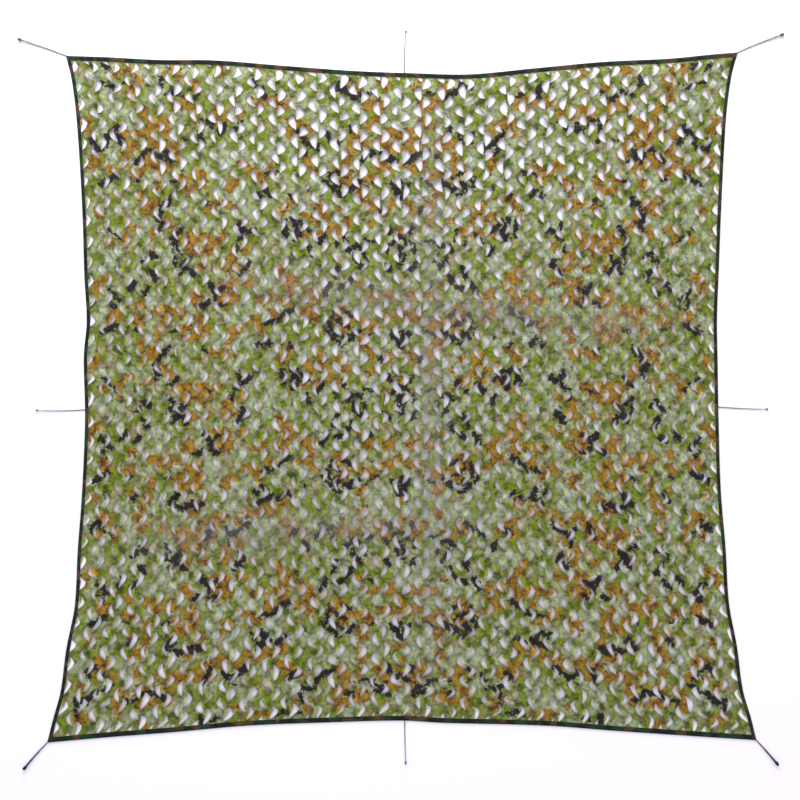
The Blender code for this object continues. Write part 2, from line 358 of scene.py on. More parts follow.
# %% Model one window
def make_window(name, mirrored):
    """Model the cloth round one cut; a mirrored one points left."""
    deselect_all()
    bpy.ops.mesh.primitive_circle_add(vertices=LOOP_POINTS, radius=WINDOW_WIDTH / 2)
    window = bpy.context.object
    window.name = name
    for index, vert in enumerate(window.data.vertices):
        vert.co = (*loop_place(index), 0)
    bpy.ops.object.mode_set(mode="EDIT")
    bpy.ops.mesh.select_all(action="SELECT")
    for outer, inner in zip(LOOP_SCALES, LOOP_SCALES[1:]):
        bpy.ops.mesh.extrude_edges_move()
        bpy.ops.transform.resize(value=(inner / outer, inner / outer, 1))
    bpy.ops.object.mode_set(mode="OBJECT")

    flat = get_points(window)[:, :2]
    outline = np.array([loop_place(index) for index in range(LOOP_POINTS)])
    shaped = np.zeros((len(flat), 3))
    opening = np.zeros((len(flat), 2))
    blend_of, rise_of, end_shade_of, leaf_light_and_shade_of = np.zeros((4, len(flat)))
    narrow = np.stack([lip_values(1), lip_values(2)], axis=1)
    wide = np.stack([lip_values(3), lip_values(4)], axis=1)
    height = lip_values(5)
    for scale, blend, rise in zip(LOOP_SCALES, LOOP_BLENDS, LOOP_RISES):
        for index in range(LOOP_POINTS):
            here = np.linalg.norm(flat - outline[index] * scale, axis=1) < SAME_PLACE
            shaped[here, :2] = outline[index] * (1 - blend) + narrow[index] * blend
            shaped[here, 2] = STRAND_HEIGHT * (1 - rise) + height[index] * rise
            opening[here] = (wide[index] - narrow[index]) * blend
            blend_of[here] = blend
            rise_of[here] = rise
            # painted shade at the cut's two ends, reaching a little onto the strands
            twist = max(near_point(index, end, END_SPREAD) for end in CUT_ENDS)
            end_shade_of[here] = twist * (STRAND_SHADE_SHARE + (1 - STRAND_SHADE_SHARE) * blend)
            # painted highlight at the leaf's tip, less painted shade across the cut from it
            outer_side = OUTER_SHADE * near_point(index, OUTER_MIDDLE, OUTER_SPREAD)
            leaf_light_and_shade_of[here] = (near_point(index, LEAF_MIDDLE, LEAF_SPREAD) - outer_side) * blend
    if mirrored:
        shaped[:, 0] *= -1
        opening[:, 0] *= -1
    set_points(window, shaped)
    # twist holds painted shade at the cut's ends; leaf holds painted highlight on the leaf and painted shade
    # across from it
    kept = {"open_x": opening[:, 0], "open_y": opening[:, 1], "lip": blend_of, "rise": rise_of,
            "twist": end_shade_of, "leaf": leaf_light_and_shade_of}
    for value_name, values in kept.items():
        store_values(window, value_name, values)
    edit_all(window, bpy.ops.mesh.normals_make_consistent, inside=False)
    if sum(polygon.normal.z for polygon in window.data.polygons) < 0:
        edit_all(window, bpy.ops.mesh.flip_normals)
    return window


right_window = make_window("window_right", mirrored=False)
left_window = make_window("window_left", mirrored=True)
print("one window:", len(right_window.data.polygons), "faces")

# %% [markdown]
# ## From one cell to the whole cloth
#
# A window that points right and one that points left, half a pitch lower, make the cell that
# repeats. Two arrays fill a panel with cells. The cloth is made in five panels of rows, which meet
# along a zigzag, because one mesh of it all would be too heavy to handle.

# %% The repeating cell
COLUMNS = 32
PANEL_ROWS = (7, 7, 6, 7, 7)
ROWS = sum(PANEL_ROWS)
CELL_WIDTH = 2 * WINDOW_WIDTH
MERGE = 0.0001                   # points nearer than this are merged


def make_cell():
    """Join the two windows, the second half a pitch lower, into the cell that repeats."""
    left_window.location = (WINDOW_WIDTH * 1.5, -WINDOW_HEIGHT, 0)
    right_window.location = (WINDOW_WIDTH * 0.5, -WINDOW_HEIGHT * 0.5, 0)
    deselect_all()
    left_window.select_set(True)
    right_window.select_set(True)
    bpy.context.view_layer.objects.active = right_window
    bpy.ops.object.transform_apply(location=True, rotation=False, scale=False)
    bpy.ops.object.join()
    made = bpy.context.object
    edit_all(made, bpy.ops.mesh.remove_doubles, threshold=MERGE)
    made.name = "cell"
    return made


cell = make_cell()
print("one cell:", len(cell.data.polygons), "faces")


# %% Arrays
def array_cells(name, first_row, rows):
    """Copy the cell into rows of 32, and the rows down the panel."""
    panel = cell.copy()
    panel.data = cell.data.copy()
    panel.name = name
    bpy.context.scene.collection.objects.link(panel)
    shared = dict(use_relative_offset=False, use_constant_offset=True, use_merge_vertices=True,
                  merge_threshold=MERGE)
    for count, step in ((COLUMNS, (CELL_WIDTH, 0, 0)), (rows, (0, -WINDOW_HEIGHT, 0))):
        apply_modifier(panel, "ARRAY", count=count, constant_offset_displace=step, **shared)
    points = get_points(panel)
    points[:, 1] -= first_row * WINDOW_HEIGHT
    set_points(panel, points)
    return panel


def trim(panel, height, keep_below):
    """Cut the panel along a level line and throw the far side away."""
    edit_all(panel, bpy.ops.mesh.bisect, plane_co=(0, height, 0), plane_no=(0, 1, 0),
             clear_outer=keep_below, clear_inner=not keep_below)


# %% [markdown]
# ## How the cloth lies
#
# The flat panels are now laid onto the net's outline. On the way each cut is opened, most at the
# top middle and least at the sides, and every leaf gets its own small turn, lift and lean, so that
# no two are alike. Where the net was folded in its pack, a soft ridge runs through the cloth.

# %% Openness, creases and unevenness
EDGE_TUCK = 0.35 * BAND          # the cloth's edge ends inside the fold of the tape
COLUMN_SWELL = 0.03              # the middle columns are this much wider than the mean
CLOTH_THICKNESS = 0.0008
FLOOR_CLEARANCE = 0.0003
BILLOW = 0.0062                  # stiff cloth stands off the floor by about this much,
MIDDLE_BILLOW = 0.0035           # and by this much more in the slack middle
MIDDLE_PLACE = (0.05, -0.35, 1.0)        # x, y and spread of the slack middle
TOP_HEIGHT = CAD_HIGH.z + 0.009  # leaves are laid no higher than this

GAPE_VARIES = 0.24               # how much one cut gapes more or less than those round it
GAPE_LIMITS = (-0.15, 1.15)
LEAF_TURN = math.radians(9.0)    # each leaf is turned by about this much
LEAF_SHIFT = 0.0030              # and moved by about this much
LIFT_BASE = 0.75                 # a leaf's height, as a share of the modelled one:
LIFT_WITH_GAPE = 0.45            # more where the cuts gape,
LIFT_VARIES = 0.20               # and more or less at random
LIP_CURL = 0.0010
RIM_FADE = 0.045                 # the cloth is pressed down within this distance of the tape,
RIM_HEIGHT = 0.002               # to this height,
RIM_LIFT = 0.10                  # with this share of its lift left

# Slow unevenness. Columns: by how much, over about what length, random seed.
SWAY_ACROSS = (0.0050, 0.16, 5)
SWAY_DOWN = (0.0055, 0.15, 6)
CLOTH_WAVES = (0.0013, 0.060, 7)
RIPPLE_WAVES = 8
RIPPLE_PITCHES = (0.7, 1.5)      # shortest and longest wave, as shares of the length asked for
RIPPLE_PEAK = 3

# Columns: x, y, spread in x, spread in y, how much wider the cuts are there (0 to 1).
OPEN_AREAS = (
    (0.00, 1.25, 1.35, 0.42, 0.94),
    (-0.08, 0.10, 0.50, 0.90, 0.44),
    (-1.15, -1.25, 0.50, 0.55, 0.42),
    (1.15, -1.20, 0.40, 0.60, 0.42),
    (-0.05, -1.15, 0.65, 0.40, 0.24),
)
OPEN_BASE = 0.12

# Columns: start x, start y, end x, end y, height, half width.
CREASES = (
    (0.125, 1.300, 0.115, -1.300, 0.0055, 0.065),
    (-0.800, 0.470, 1.250, 0.240, 0.0050, 0.085),
    (-1.250, -0.660, 0.450, -0.560, 0.0050, 0.080),
)

# Six random numbers for each leaf: gape, turn, shift across, shift down, lift, curl.
LEAF_TABLE = np.random.default_rng(11).normal(size=(ROWS + 3, 2 * COLUMNS + 1, 6))


def open_share(x, y):
    """Return how wide the cuts gape at each place, 0 narrow to 1 wide."""
    share = np.full_like(x, OPEN_BASE)
    for x0, y0, wide_x, wide_y, more in OPEN_AREAS:
        share += more * np.exp(-(((x - x0) / wide_x) ** 2) - (((y - y0) / wide_y) ** 2))
    return np.clip(share, 0, 1)


def crease_lines(x, y):
    """Return the height of the packing creases and a 0 to 1 mask of how near they are."""
    height = np.zeros_like(x)
    near = np.zeros_like(x)
    for x0, y0, x1, y1, rise, half_width in CREASES:
        along = np.array((x1 - x0, y1 - y0))
        share = ((x - x0) * along[0] + (y - y0) * along[1]) / (along @ along)
        fade = np.sqrt(np.sin(np.pi * np.clip(share, 0, 1)))
        away = np.hypot(x - x0 - along[0] * share, y - y0 - along[1] * share)
        bell = np.where(away < half_width, 0.5 * (1 + np.cos(np.pi * away / half_width)), 0)
        height = np.maximum(height, rise * fade * bell)
        near = np.maximum(near, fade * np.exp(-((away / half_width) ** 2)))
    return height, near


def ripple(x, y, wavelength, seed):
    """Return a smooth uneven field of about -1 to 1: eight waves that run in all directions."""
    rng = np.random.default_rng(seed)
    total = np.zeros_like(x)
    for _ in range(RIPPLE_WAVES):
        angle, phase = rng.uniform(0, 2 * np.pi, 2)
        pitch = wavelength * rng.uniform(*RIPPLE_PITCHES)
        total += np.sin(2 * np.pi * (x * np.cos(angle) + y * np.sin(angle)) / pitch + phase)
    return total / RIPPLE_PEAK


def uneven(x, y, sizes):
    """Return a ripple of a given size in metres; sizes holds its amount, length and seed."""
    amount, wavelength, seed = sizes
    return amount * ripple(x, y, wavelength, seed)


# %% Lay a panel onto the net
def lay_panel(panel):
    """Open the cuts of a flat panel, vary its leaves and lay it onto the net's outline."""
    points = get_points(panel)
    lip = read_values(panel, "lip")
    rise = read_values(panel, "rise")
    opening = np.stack([read_values(panel, "open_x"), read_values(panel, "open_y")], axis=1)

    # which cut each point belongs to
    column = np.clip((points[:, 0] / WINDOW_WIDTH).astype(int), 0, 2 * COLUMNS - 1)
    lower = (column % 2) * 0.5
    row_share = -points[:, 1] / WINDOW_HEIGHT - lower
    row = np.floor(row_share).astype(int) + 1
    leaf = LEAF_TABLE[np.clip(row, 0, ROWS + 2), column]
    middle = np.stack([(column + 0.5) * WINDOW_WIDTH, -(row - 0.5 + lower) * WINDOW_HEIGHT], axis=1)

    # where that place is on the net, before the cut opens
    flat_width, flat_height = COLUMNS * CELL_WIDTH, ROWS * WINDOW_HEIGHT
    across = points[:, 0] / flat_width
    down = -points[:, 1] / flat_height
    rough = net_points(np.clip(across, 0, 1), np.clip(down, 0, 1))
    usual = open_share(rough[:, 0], rough[:, 1])
    gape = np.clip(usual + GAPE_VARIES * leaf[:, 0] * (0.5 + 0.5 * usual), *GAPE_LIMITS)

    flat = points[:, :2] + opening * gape[:, None]
    turn = LEAF_TURN * leaf[:, 1] * lip
    away = flat - middle
    flat = middle + np.stack([away[:, 0] * np.cos(turn) - away[:, 1] * np.sin(turn),
                              away[:, 0] * np.sin(turn) + away[:, 1] * np.cos(turn)], axis=1)
    flat += LEAF_SHIFT * leaf[:, 2:4] * lip[:, None]
    flat[:, 0] += uneven(points[:, 0], points[:, 1], SWAY_ACROSS)
    flat[:, 1] += uneven(points[:, 0], points[:, 1], SWAY_DOWN)

    u = np.clip(flat[:, 0] / flat_width, 0, 1)
    v = np.clip(-flat[:, 1] / flat_height, 0, 1)
    u = u - COLUMN_SWELL * np.sin(2 * np.pi * u) / (2 * np.pi)
    place = net_points(EDGE_TUCK + u * (1 - 2 * EDGE_TUCK), EDGE_TUCK + v * (1 - 2 * EDGE_TUCK))

    lift = points[:, 2] * (LIFT_BASE + LIFT_WITH_GAPE * usual + LIFT_VARIES * leaf[:, 4] * rise)
    lift += LIP_CURL * leaf[:, 5] * rise * (1 - rise) * 4
    middle_x, middle_y, spread = MIDDLE_PLACE
    slack = np.exp(-((place[:, 0] - middle_x) ** 2 + (place[:, 1] - middle_y) ** 2) / spread**2)
    lift += BILLOW + MIDDLE_BILLOW * slack
    lift += CLOTH_WAVES[0] + uneven(place[:, 0], place[:, 1], CLOTH_WAVES)
    crease, near = crease_lines(place[:, 0], place[:, 1])
    rim = np.minimum(np.minimum(u, 1 - u) * flat_width, np.minimum(v, 1 - v) * flat_height)
    held = np.clip((rim - BINDING_WIDTH) / RIM_FADE, 0, 1)
    height = crease + RIM_HEIGHT * (1 - held) + lift * (RIM_LIFT + (1 - RIM_LIFT) * held)
    height = np.clip(height, FLOOR_CLEARANCE + CLOTH_THICKNESS, TOP_HEIGHT)
    set_points(panel, np.column_stack([place, height]))
    store_values(panel, "fold_haze", near)
    return panel


# %% Make the five panels
def make_panels():
    """Fill, trim, open and lay each panel."""
    made = []
    first = -1
    for number, rows in enumerate(PANEL_ROWS, start=1):
        top_panel, bottom_panel = number == 1, number == len(PANEL_ROWS)
        extra = 1 if top_panel else 0
        panel = array_cells(f"net_panel_{number}", first, rows + extra)
        first += rows + extra
        if top_panel:
            trim(panel, 0.0, keep_below=True)
        if bottom_panel:
            trim(panel, -ROWS * WINDOW_HEIGHT, keep_below=False)
        lay_panel(panel)
        made.append(panel)
    return made


panels = make_panels()
for panel in panels:
    print(panel.name, len(panel.data.vertices), "points", [round(v, 3) for v in panel.dimensions])

# %% [markdown]
# ## The print
#
# The cloth carries a common woodland print: short dark strokes and ochre patches over light and
# deep greens. It repeats about every 0.65 m down the net and is mirrored about an upright line
# close to the middle. The cloth is pulled a little longer towards its top edge, and a little
# narrower above the middle, and the print is stretched with it.
#
# The larger marks are charted: out from the mirror line in units of 4.3 mm, and down from
# the repeat's top with 145 units a repeat. Each point of the cloth keeps its distance to the
# nearest mark of each colour, and the material turns these distances into marks with ragged
# edges. One band of the print, from about 56 to 105 down, has other marks above the middle of
# the net than below it, and the bands along the top and bottom edges have marks of their own.

# %% Print chart
REPEAT = 0.6475                  # length of one repeat at the middle of the net
REPEAT_UNITS = 145
CHART_UNIT = 0.0043
REPEAT_TOP = 1.078
MIRROR_LINE = -0.006
PULL_ABOVE = 0.020               # each repeat is a little shorter than the one above it
PULL_BELOW = 0.040
SIDE_PULL = 0.02                 # the cloth is this much narrower above the middle
SIDE_PULL_PLACE = 0.43
SIDE_PULL_REACH = 0.35

# Dark strokes. Columns: start out, start down, end out, end down, width; in chart units.
DARK_STROKES = (
    (302, 1, 291, 11, 5), (300, 13, 296, 19, 4), (308, 43, 293, 35, 6), (273, 39, 270, 40, 4),
    (236, 41, 230, 40, 4), (206, 17, 200, 13, 5), (191, 2, 191, 12, 5), (187, 16, 182, 13, 5),
    (197, 141, 193, 147, 6), (187, 146, 183, 143, 5), (158, 90, 152, 86, 6), (167, 97, 162, 93, 5),
    (171, 103, 170, 108, 4), (302, 87, 287, 99, 3), (259, 110, 254, 114, 6), (267, 119, 262, 115, 5),
    (260, 127, 255, 135, 6), (234, 107, 229, 112, 5), (234, 115, 233, 122, 4), (219, 114, 226, 122, 6),
    (224, 123, 229, 130, 5), (220, 125, 215, 131, 6), (276, 140, 280, 146, 6), (262, 144, 267, 149, 6),
    (160, 117, 157, 122, 6), (160, 124, 166, 130, 6), (147, 52, 144, 56, 5), (139, 49, 134, 54, 6),
    (114, 53, 111, 57, 4), (132, 35, 118, 23, 4), (116, 22, 111, 19, 6), (139, 34, 133, 31, 5),
    (96, 45, 95, 48, 3), (74, 141, 79, 151, 6), (64, 145, 60, 143, 6), (70, 24, 71, 30, 4),
    (73, 33, 72, 38, 5), (78, 39, 75, 44, 4), (69, 47, 64, 43, 7), (65, 52, 60, 54, 5),
    (65, 30, 54, 37, 4), (57, 23, 51, 26, 5), (56, 47, 51, 49, 6), (49, 45, 43, 41, 6),
    (35, 46, 22, 38, 3), (9, 42, 6, 48, 5), (4, 47, 2, 55, 6), (2, 56, 0, 56, 5),
    (0, 39, 0, 44, 4), (109, 96, 104, 91, 6), (78, 92, 84, 100, 5), (96, 104, 92, 111, 5),
    (68, 99, 66, 102, 4), (54, 108, 48, 102, 5), (48, 102, 41, 104, 5), (48, 112, 46, 118, 5),
    (46, 118, 40, 124, 5), (38, 111, 35, 118, 4), (37, 98, 27, 99, 4), (64, 123, 68, 134, 5),
    (48, 129, 54, 139, 5), (12, 85, 10, 90, 5), (2, 94, 8, 101, 5), (14, 102, 14, 110, 4),
    (2, 104, 0, 110, 4), (4, 111, 2, 121, 4), (15, 121, 11, 126, 5), (31, 142, 29, 144, 4),
)
DARK_ABOVE = (
    (244, 61, 249, 74, 5), (251, 74, 250, 79, 6), (245, 80, 249, 87, 5), (238, 56, 240, 63, 5),
    (226, 86, 233, 94, 5), (235, 95, 233, 105, 6), (166, 81, 163, 89, 5), (120, 79, 119, 93, 6),
    (113, 77, 106, 87, 5), (108, 88, 108, 95, 6), (105, 79, 94, 89, 5), (58, 88, 57, 98, 4),
    (21, 66, 20, 71, 4), (202, 58, 198, 62, 4),
)
DARK_BELOW = (
    (269, 63, 264, 57, 5), (224, 57, 231, 66, 7), (223, 69, 217, 71, 6), (214, 69, 208, 65, 6),
    (205, 71, 199, 66, 6), (175, 91, 170, 96, 5), (188, 88, 193, 99, 6), (309, 92, 303, 85, 7),
    (130, 58, 138, 63, 6), (139, 62, 143, 66, 5), (123, 61, 118, 57, 5), (65, 85, 67, 89, 4),
    (73, 92, 68, 89, 5),
)

# Patches. Columns: out, down, width, height; in chart units.
OCHRE_PATCHES = (
    (296, 27, 13, 13), (307, 135, 11, 8), (285, 97, 8, 14), (301, 98, 7, 9), (270, 16, 9, 10),
    (247, 21, 16, 10), (230, 23, 16, 10), (243, 29, 10, 8), (213, 9, 15, 14), (178, 8, 20, 14),
    (222, 39, 12, 9), (208, 29, 13, 10), (204, 39, 10, 16), (214, 48, 20, 8), (271, 32, 12, 9),
    (267, 54, 8, 8), (250, 43, 8, 12), (258, 91, 8, 10), (172, 41, 13, 9), (175, 49, 9, 9),
    (154, 31, 9, 8), (173, 123, 13, 9), (210, 124, 8, 8), (194, 124, 8, 8), (179, 140, 20, 10),
    (314, 143, 9, 15), (218, 97, 16, 13), (215, 107, 13, 10), (203, 95, 13, 10), (195, 101, 15, 9),
    (186, 94, 9, 10), (201, 108, 10, 10), (175, 113, 11, 12), (161, 106, 9, 9), (147, 33, 10, 9),
    (143, 39, 9, 8), (146, 10, 9, 7), (137, 8, 8, 10), (125, 9, 8, 9), (116, 11, 8, 16),
    (131, 24, 9, 10), (97, 5, 8, 12), (89, 7, 9, 10), (97, 22, 14, 9), (91, 15, 9, 8),
    (89, 29, 8, 8), (66, 27, 10, 10), (60, 20, 11, 9), (55, 34, 10, 10), (58, 40, 10, 9),
    (50, 29, 6, 8), (37, 33, 12, 10), (29, 36, 12, 10), (38, 52, 11, 13), (27, 7, 9, 10),
    (12, 7, 13, 10), (13, 27, 16, 9), (0, 20, 9, 8), (35, 8, 8, 7), (0, 90, 8, 8),
    (99, 92, 9, 8), (123, 127, 8, 9), (117, 135, 12, 11), (111, 139, 9, 11), (114, 146, 10, 8),
    (158, 139, 10, 8), (42, 140, 8, 7),
)
OCHRE_ABOVE = (
    (312, 71, 8, 10), (256, 63, 15, 12), (262, 71, 8, 6), (242, 77, 8, 10), (236, 84, 8, 10),
    (254, 90, 6, 6), (275, 86, 12, 6), (198, 66, 10, 8), (191, 62, 10, 8), (180, 62, 10, 9),
    (174, 65, 9, 7), (118, 64, 9, 10), (112, 58, 10, 8), (124, 70, 8, 6), (82, 64, 11, 8),
    (79, 73, 9, 9), (64, 67, 8, 7), (73, 83, 9, 9), (66, 90, 10, 10), (91, 79, 9, 7),
    (97, 73, 9, 7), (82, 91, 12, 7), (55, 79, 8, 8), (31, 64, 10, 12), (32, 82, 9, 7),
    (14, 69, 9, 7), (9, 62, 8, 7),
)
OCHRE_BELOW = (
    (307, 60, 9, 9), (296, 81, 15, 13), (253, 59, 8, 14), (259, 71, 10, 11), (265, 79, 6, 10),
    (208, 73, 12, 10), (201, 63, 10, 6), (196, 58, 6, 10), (196, 84, 10, 7), (182, 83, 14, 8),
    (176, 77, 10, 7), (153, 75, 12, 9), (161, 84, 8, 8), (238, 92, 8, 6), (229, 96, 8, 6),
    (0, 62, 10, 9), (38, 75, 8, 15), (23, 87, 11, 10), (14, 90, 8, 13), (15, 98, 10, 9),
    (61, 91, 10, 9), (54, 95, 9, 9), (41, 92, 7, 9), (58, 83, 6, 7), (0, 80, 7, 8),
    (117, 66, 9, 10), (130, 71, 8, 12), (137, 67, 7, 10), (141, 75, 8, 7), (117, 82, 9, 9),
    (108, 86, 10, 9), (113, 95, 9, 9),
)
SAGE_PATCHES = (
    (176, 50, 30, 14), (167, 70, 14, 12), (60, 75, 14, 14), (31, 58, 12, 9), (29, 87, 10, 8),
    (270, 84, 16, 10), (224, 30, 9, 9), (217, 18, 8, 8), (250, 69, 9, 9), (302, 112, 12, 12),
    (168, 130, 9, 9), (152, 113, 12, 8), (160, 15, 10, 12),
)

# The band along the top edge, charted on its own grid: out from the mirror line and down from
# the band's top in these two units. It ends at BAND_END.
BAND_UNITS = (0.00445, 0.00456)
BAND_TOP = 1.481
BAND_END = 0.97
BAND_DARK = (
    (310, 7, 305, 13, 4), (299, 6, 293, 12, 5), (302, 25, 297, 27, 4), (293, 28, 284, 33, 4),
    (282, 28, 276, 26, 3), (240, 20, 239, 30, 4), (233, 38, 229, 36, 5), (223, 37, 220, 33, 5),
    (215, 39, 211, 42, 6), (205, 41, 201, 35, 5), (149, 25, 141, 31, 5), (139, 32, 137, 40, 7),
    (122, 37, 117, 39, 5), (68, 31, 60, 26, 5), (58, 32, 46, 41, 6), (65, 33, 58, 33, 4),
    (43, 38, 40, 37, 5), (32, 37, 28, 36, 4), (56, 19, 48, 25, 4), (198, 64, 199, 74, 5),
    (192, 64, 188, 70, 5), (200, 80, 196, 85, 4), (180, 75, 176, 72, 7), (176, 67, 175, 69, 4),
    (166, 74, 164, 70, 5), (160, 66, 157, 64, 3), (216, 84, 210, 84, 4), (283, 70, 290, 78, 6),
    (281, 79, 277, 86, 6), (307, 82, 305, 92, 6), (305, 93, 297, 92, 6), (293, 80, 294, 90, 5),
    (254, 96, 262, 105, 6), (251, 92, 248, 93, 5), (242, 98, 237, 101, 6), (233, 94, 232, 102, 5),
    (238, 102, 238, 106, 4), (229, 104, 227, 105, 5), (103, 74, 100, 78, 5), (98, 80, 92, 88, 5),
    (90, 84, 88, 91, 5), (98, 92, 93, 97, 4), (83, 88, 82, 93, 5), (72, 77, 70, 84, 6),
    (58, 76, 61, 86, 4), (50, 70, 48, 76, 4), (39, 104, 35, 99, 5), (28, 95, 27, 100, 5),
    (20, 96, 12, 100, 5), (12, 101, 6, 104, 8),
)
BAND_OCHRE = (
    (285, 15, 8, 12), (273, 15, 9, 10), (263, 23, 7, 11), (270, 32, 8, 12), (269, 41, 7, 10),
    (236, 16, 7, 7), (225, 12, 9, 10), (222, 20, 7, 5), (205, 28, 9, 8), (203, 33, 7, 5),
    (181, 14, 8, 13), (256, 56, 8, 13), (224, 48, 11, 9), (216, 45, 9, 9), (209, 53, 8, 11),
    (204, 62, 7, 9), (187, 59, 11, 7), (182, 52, 9, 9), (173, 58, 7, 11), (160, 56, 9, 11),
    (184, 67, 9, 7), (148, 45, 9, 11), (142, 49, 9, 7), (132, 43, 13, 9), (119, 48, 11, 9),
    (120, 41, 9, 7), (108, 66, 11, 13), (111, 76, 9, 9), (92, 73, 7, 11), (96, 69, 9, 7),
    (43, 31, 9, 9), (48, 28, 10, 7), (32, 48, 11, 13), (24, 48, 11, 13), (14, 30, 7, 10),
    (20, 22, 9, 9), (24, 65, 11, 10), (30, 70, 8, 8), (9, 75, 11, 11), (18, 84, 13, 11),
    (9, 92, 13, 9), (40, 88, 13, 13), (51, 88, 7, 9), (46, 80, 9, 9), (2, 80, 5, 13),
    (20, 110, 13, 13), (8, 114, 13, 11), (52, 102, 9, 11), (60, 114, 9, 11), (156, 109, 10, 12),
    (140, 116, 13, 10), (132, 112, 11, 10), (93, 106, 9, 13), (90, 112, 8, 10), (274, 78, 9, 11),
    (277, 73, 7, 8), (261, 76, 9, 10), (246, 68, 13, 12), (250, 76, 10, 10), (236, 66, 9, 11),
    (233, 75, 10, 12), (245, 86, 11, 10), (238, 88, 9, 10), (232, 86, 7, 8), (224, 88, 7, 13),
    (267, 90, 9, 13), (273, 100, 9, 11), (250, 100, 11, 11), (252, 109, 13, 11), (239, 109, 13, 10),
    (222, 98, 7, 13), (232, 109, 10, 7), (314, 68, 10, 13), (310, 75, 10, 8), (305, 104, 12, 13),
    (300, 116, 12, 11), (308, 112, 8, 11), (286, 110, 11, 6), (271, 112, 9, 10),
)

# The band along the bottom edge, charted in the same way. It starts at LOW_START.
LOW_UNITS = (0.00425, 0.00415)
LOW_TOP = -1.162
LOW_START = -1.258
LOW_DARK = (
    (305, 33, 317, 41, 6), (324, 40, 313, 42, 6), (323, 44, 322, 57, 4), (284, 20, 297, 31, 5),
    (276, 42, 273, 40, 5), (267, 41, 262, 37, 5), (257, 33, 249, 34, 6), (244, 32, 234, 40, 6),
    (187, 12, 197, 23, 5), (179, 14, 176, 22, 5), (173, 19, 165, 23, 5), (104, 21, 97, 29, 5),
    (97, 29, 86, 27, 5), (80, 13, 84, 21, 5), (64, 11, 69, 19, 5), (53, 32, 49, 34, 7),
    (29, 22, 17, 27, 5), (24, 31, 17, 32, 5), (16, 28, 12, 34, 5), (100, 34, 98, 43, 4),
    (200, 56, 198, 64, 6), (187, 60, 183, 57, 5), (124, 56, 117, 51, 4), (112, 53, 98, 53, 3),
)
LOW_OCHRE = (
    (322, 21, 10, 10), (317, 26, 9, 8), (279, 33, 14, 9), (259, 28, 13, 11), (236, 23, 18, 10),
    (229, 31, 8, 10), (282, 47, 13, 12), (256, 44, 18, 9), (246, 40, 8, 8), (234, 43, 9, 7),
    (256, 64, 8, 9), (318, 59, 14, 11), (144, 54, 25, 7), (166, 46, 9, 6), (93, 46, 9, 11),
    (104, 40, 9, 6), (62, 29, 12, 10), (64, 42, 12, 13), (52, 41, 9, 9), (39, 36, 16, 11),
    (5, 24, 11, 10),
)
WANDER_ACROSS = (0.0035, 0.050, 21)      # the marks' edges wander by about this much
WANDER_DOWN = (0.0035, 0.050, 22)
STROKE_HALF = 0.56               # a stroke's half width, as a share of the charted width
PATCH_HALF = 0.62                # a patch's half width and half height, likewise


# %% Print functions
def wander(x, y):
    """Move places a little from side to side, so that the marks have uneven edges."""
    x = x + uneven(x, y, WANDER_ACROSS)
    return x, y + uneven(x, y, WANDER_DOWN)


def chart_place(x, y):
    """Return the place on the chart, out and down, of points on the net."""
    x, y = wander(x, y)
    side_pull = 1 + SIDE_PULL * np.exp(-((y - SIDE_PULL_PLACE) / SIDE_PULL_REACH) ** 2)
    out = np.abs(x - MIRROR_LINE) * side_pull / CHART_UNIT
    pull = np.where(y > 0, PULL_ABOVE, PULL_BELOW) * y * y
    repeats = (REPEAT_TOP - y + pull) / REPEAT
    return out, np.mod(repeats, 1) * REPEAT_UNITS


def band_place(x, y, top, units):
    """Return the place on the chart of an edge band, out and down, of points on the net."""
    x, y = wander(x, y)
    return np.abs(x - MIRROR_LINE) / units[0], (top - y) / units[1]


def distance_to_strokes(out, down, strokes):
    """Return the distance in metres to the nearest stroke, less than 0 inside it."""
    nearest = np.full_like(out, REPEAT_UNITS)
    for x0, y0, x1, y1, width in strokes:
        for shift in (-REPEAT_UNITS, 0, REPEAT_UNITS):
            along = np.array((x1 - x0, y1 - y0), dtype=float)
            from_x, from_y = out - x0, down - y0 - shift
            share = np.clip((from_x * along[0] + from_y * along[1]) / (along @ along), 0, 1)
            away = np.hypot(from_x - along[0] * share, from_y - along[1] * share)
            nearest = np.minimum(nearest, away - width * STROKE_HALF)
    return nearest * CHART_UNIT


def distance_to_patches(out, down, patches):
    """Return roughly the distance in metres to the nearest oval patch, less than 0 inside it."""
    nearest = np.full_like(out, REPEAT_UNITS)
    for x0, y0, width, height in patches:
        for shift in (-REPEAT_UNITS, 0, REPEAT_UNITS):
            rim = np.hypot((out - x0) / (width * PATCH_HALF), (down - y0 - shift) / (height * PATCH_HALF))
            nearest = np.minimum(nearest, (rim - 1) * min(width, height) / 2)
    return nearest * CHART_UNIT


def store_print(piece):
    """Give each point of the cloth its distances to the marks of the print."""
    points = get_points(piece)
    out, down = chart_place(points[:, 0], points[:, 1])
    above = points[:, 1] > 0
    dark = np.where(above, distance_to_strokes(out, down, DARK_STROKES + DARK_ABOVE),
                    distance_to_strokes(out, down, DARK_STROKES + DARK_BELOW))
    ochre = np.where(above, distance_to_patches(out, down, OCHRE_PATCHES + OCHRE_ABOVE),
                     distance_to_patches(out, down, OCHRE_PATCHES + OCHRE_BELOW))
    for in_band, top, units, strokes, ovals in (
            (points[:, 1] > BAND_END, BAND_TOP, BAND_UNITS, BAND_DARK, BAND_OCHRE),
            (points[:, 1] < LOW_START, LOW_TOP, LOW_UNITS, LOW_DARK, LOW_OCHRE)):
        out_band, down_band = band_place(points[:, 0], points[:, 1], top, units)
        dark = np.where(in_band, distance_to_strokes(out_band, down_band, strokes), dark)
        ochre = np.where(in_band, distance_to_patches(out_band, down_band, ovals), ochre)
    store_values(piece, "print_dark", dark)
    store_values(piece, "print_ochre", ochre)
    store_values(piece, "print_sage", distance_to_patches(out, down, SAGE_PATCHES))


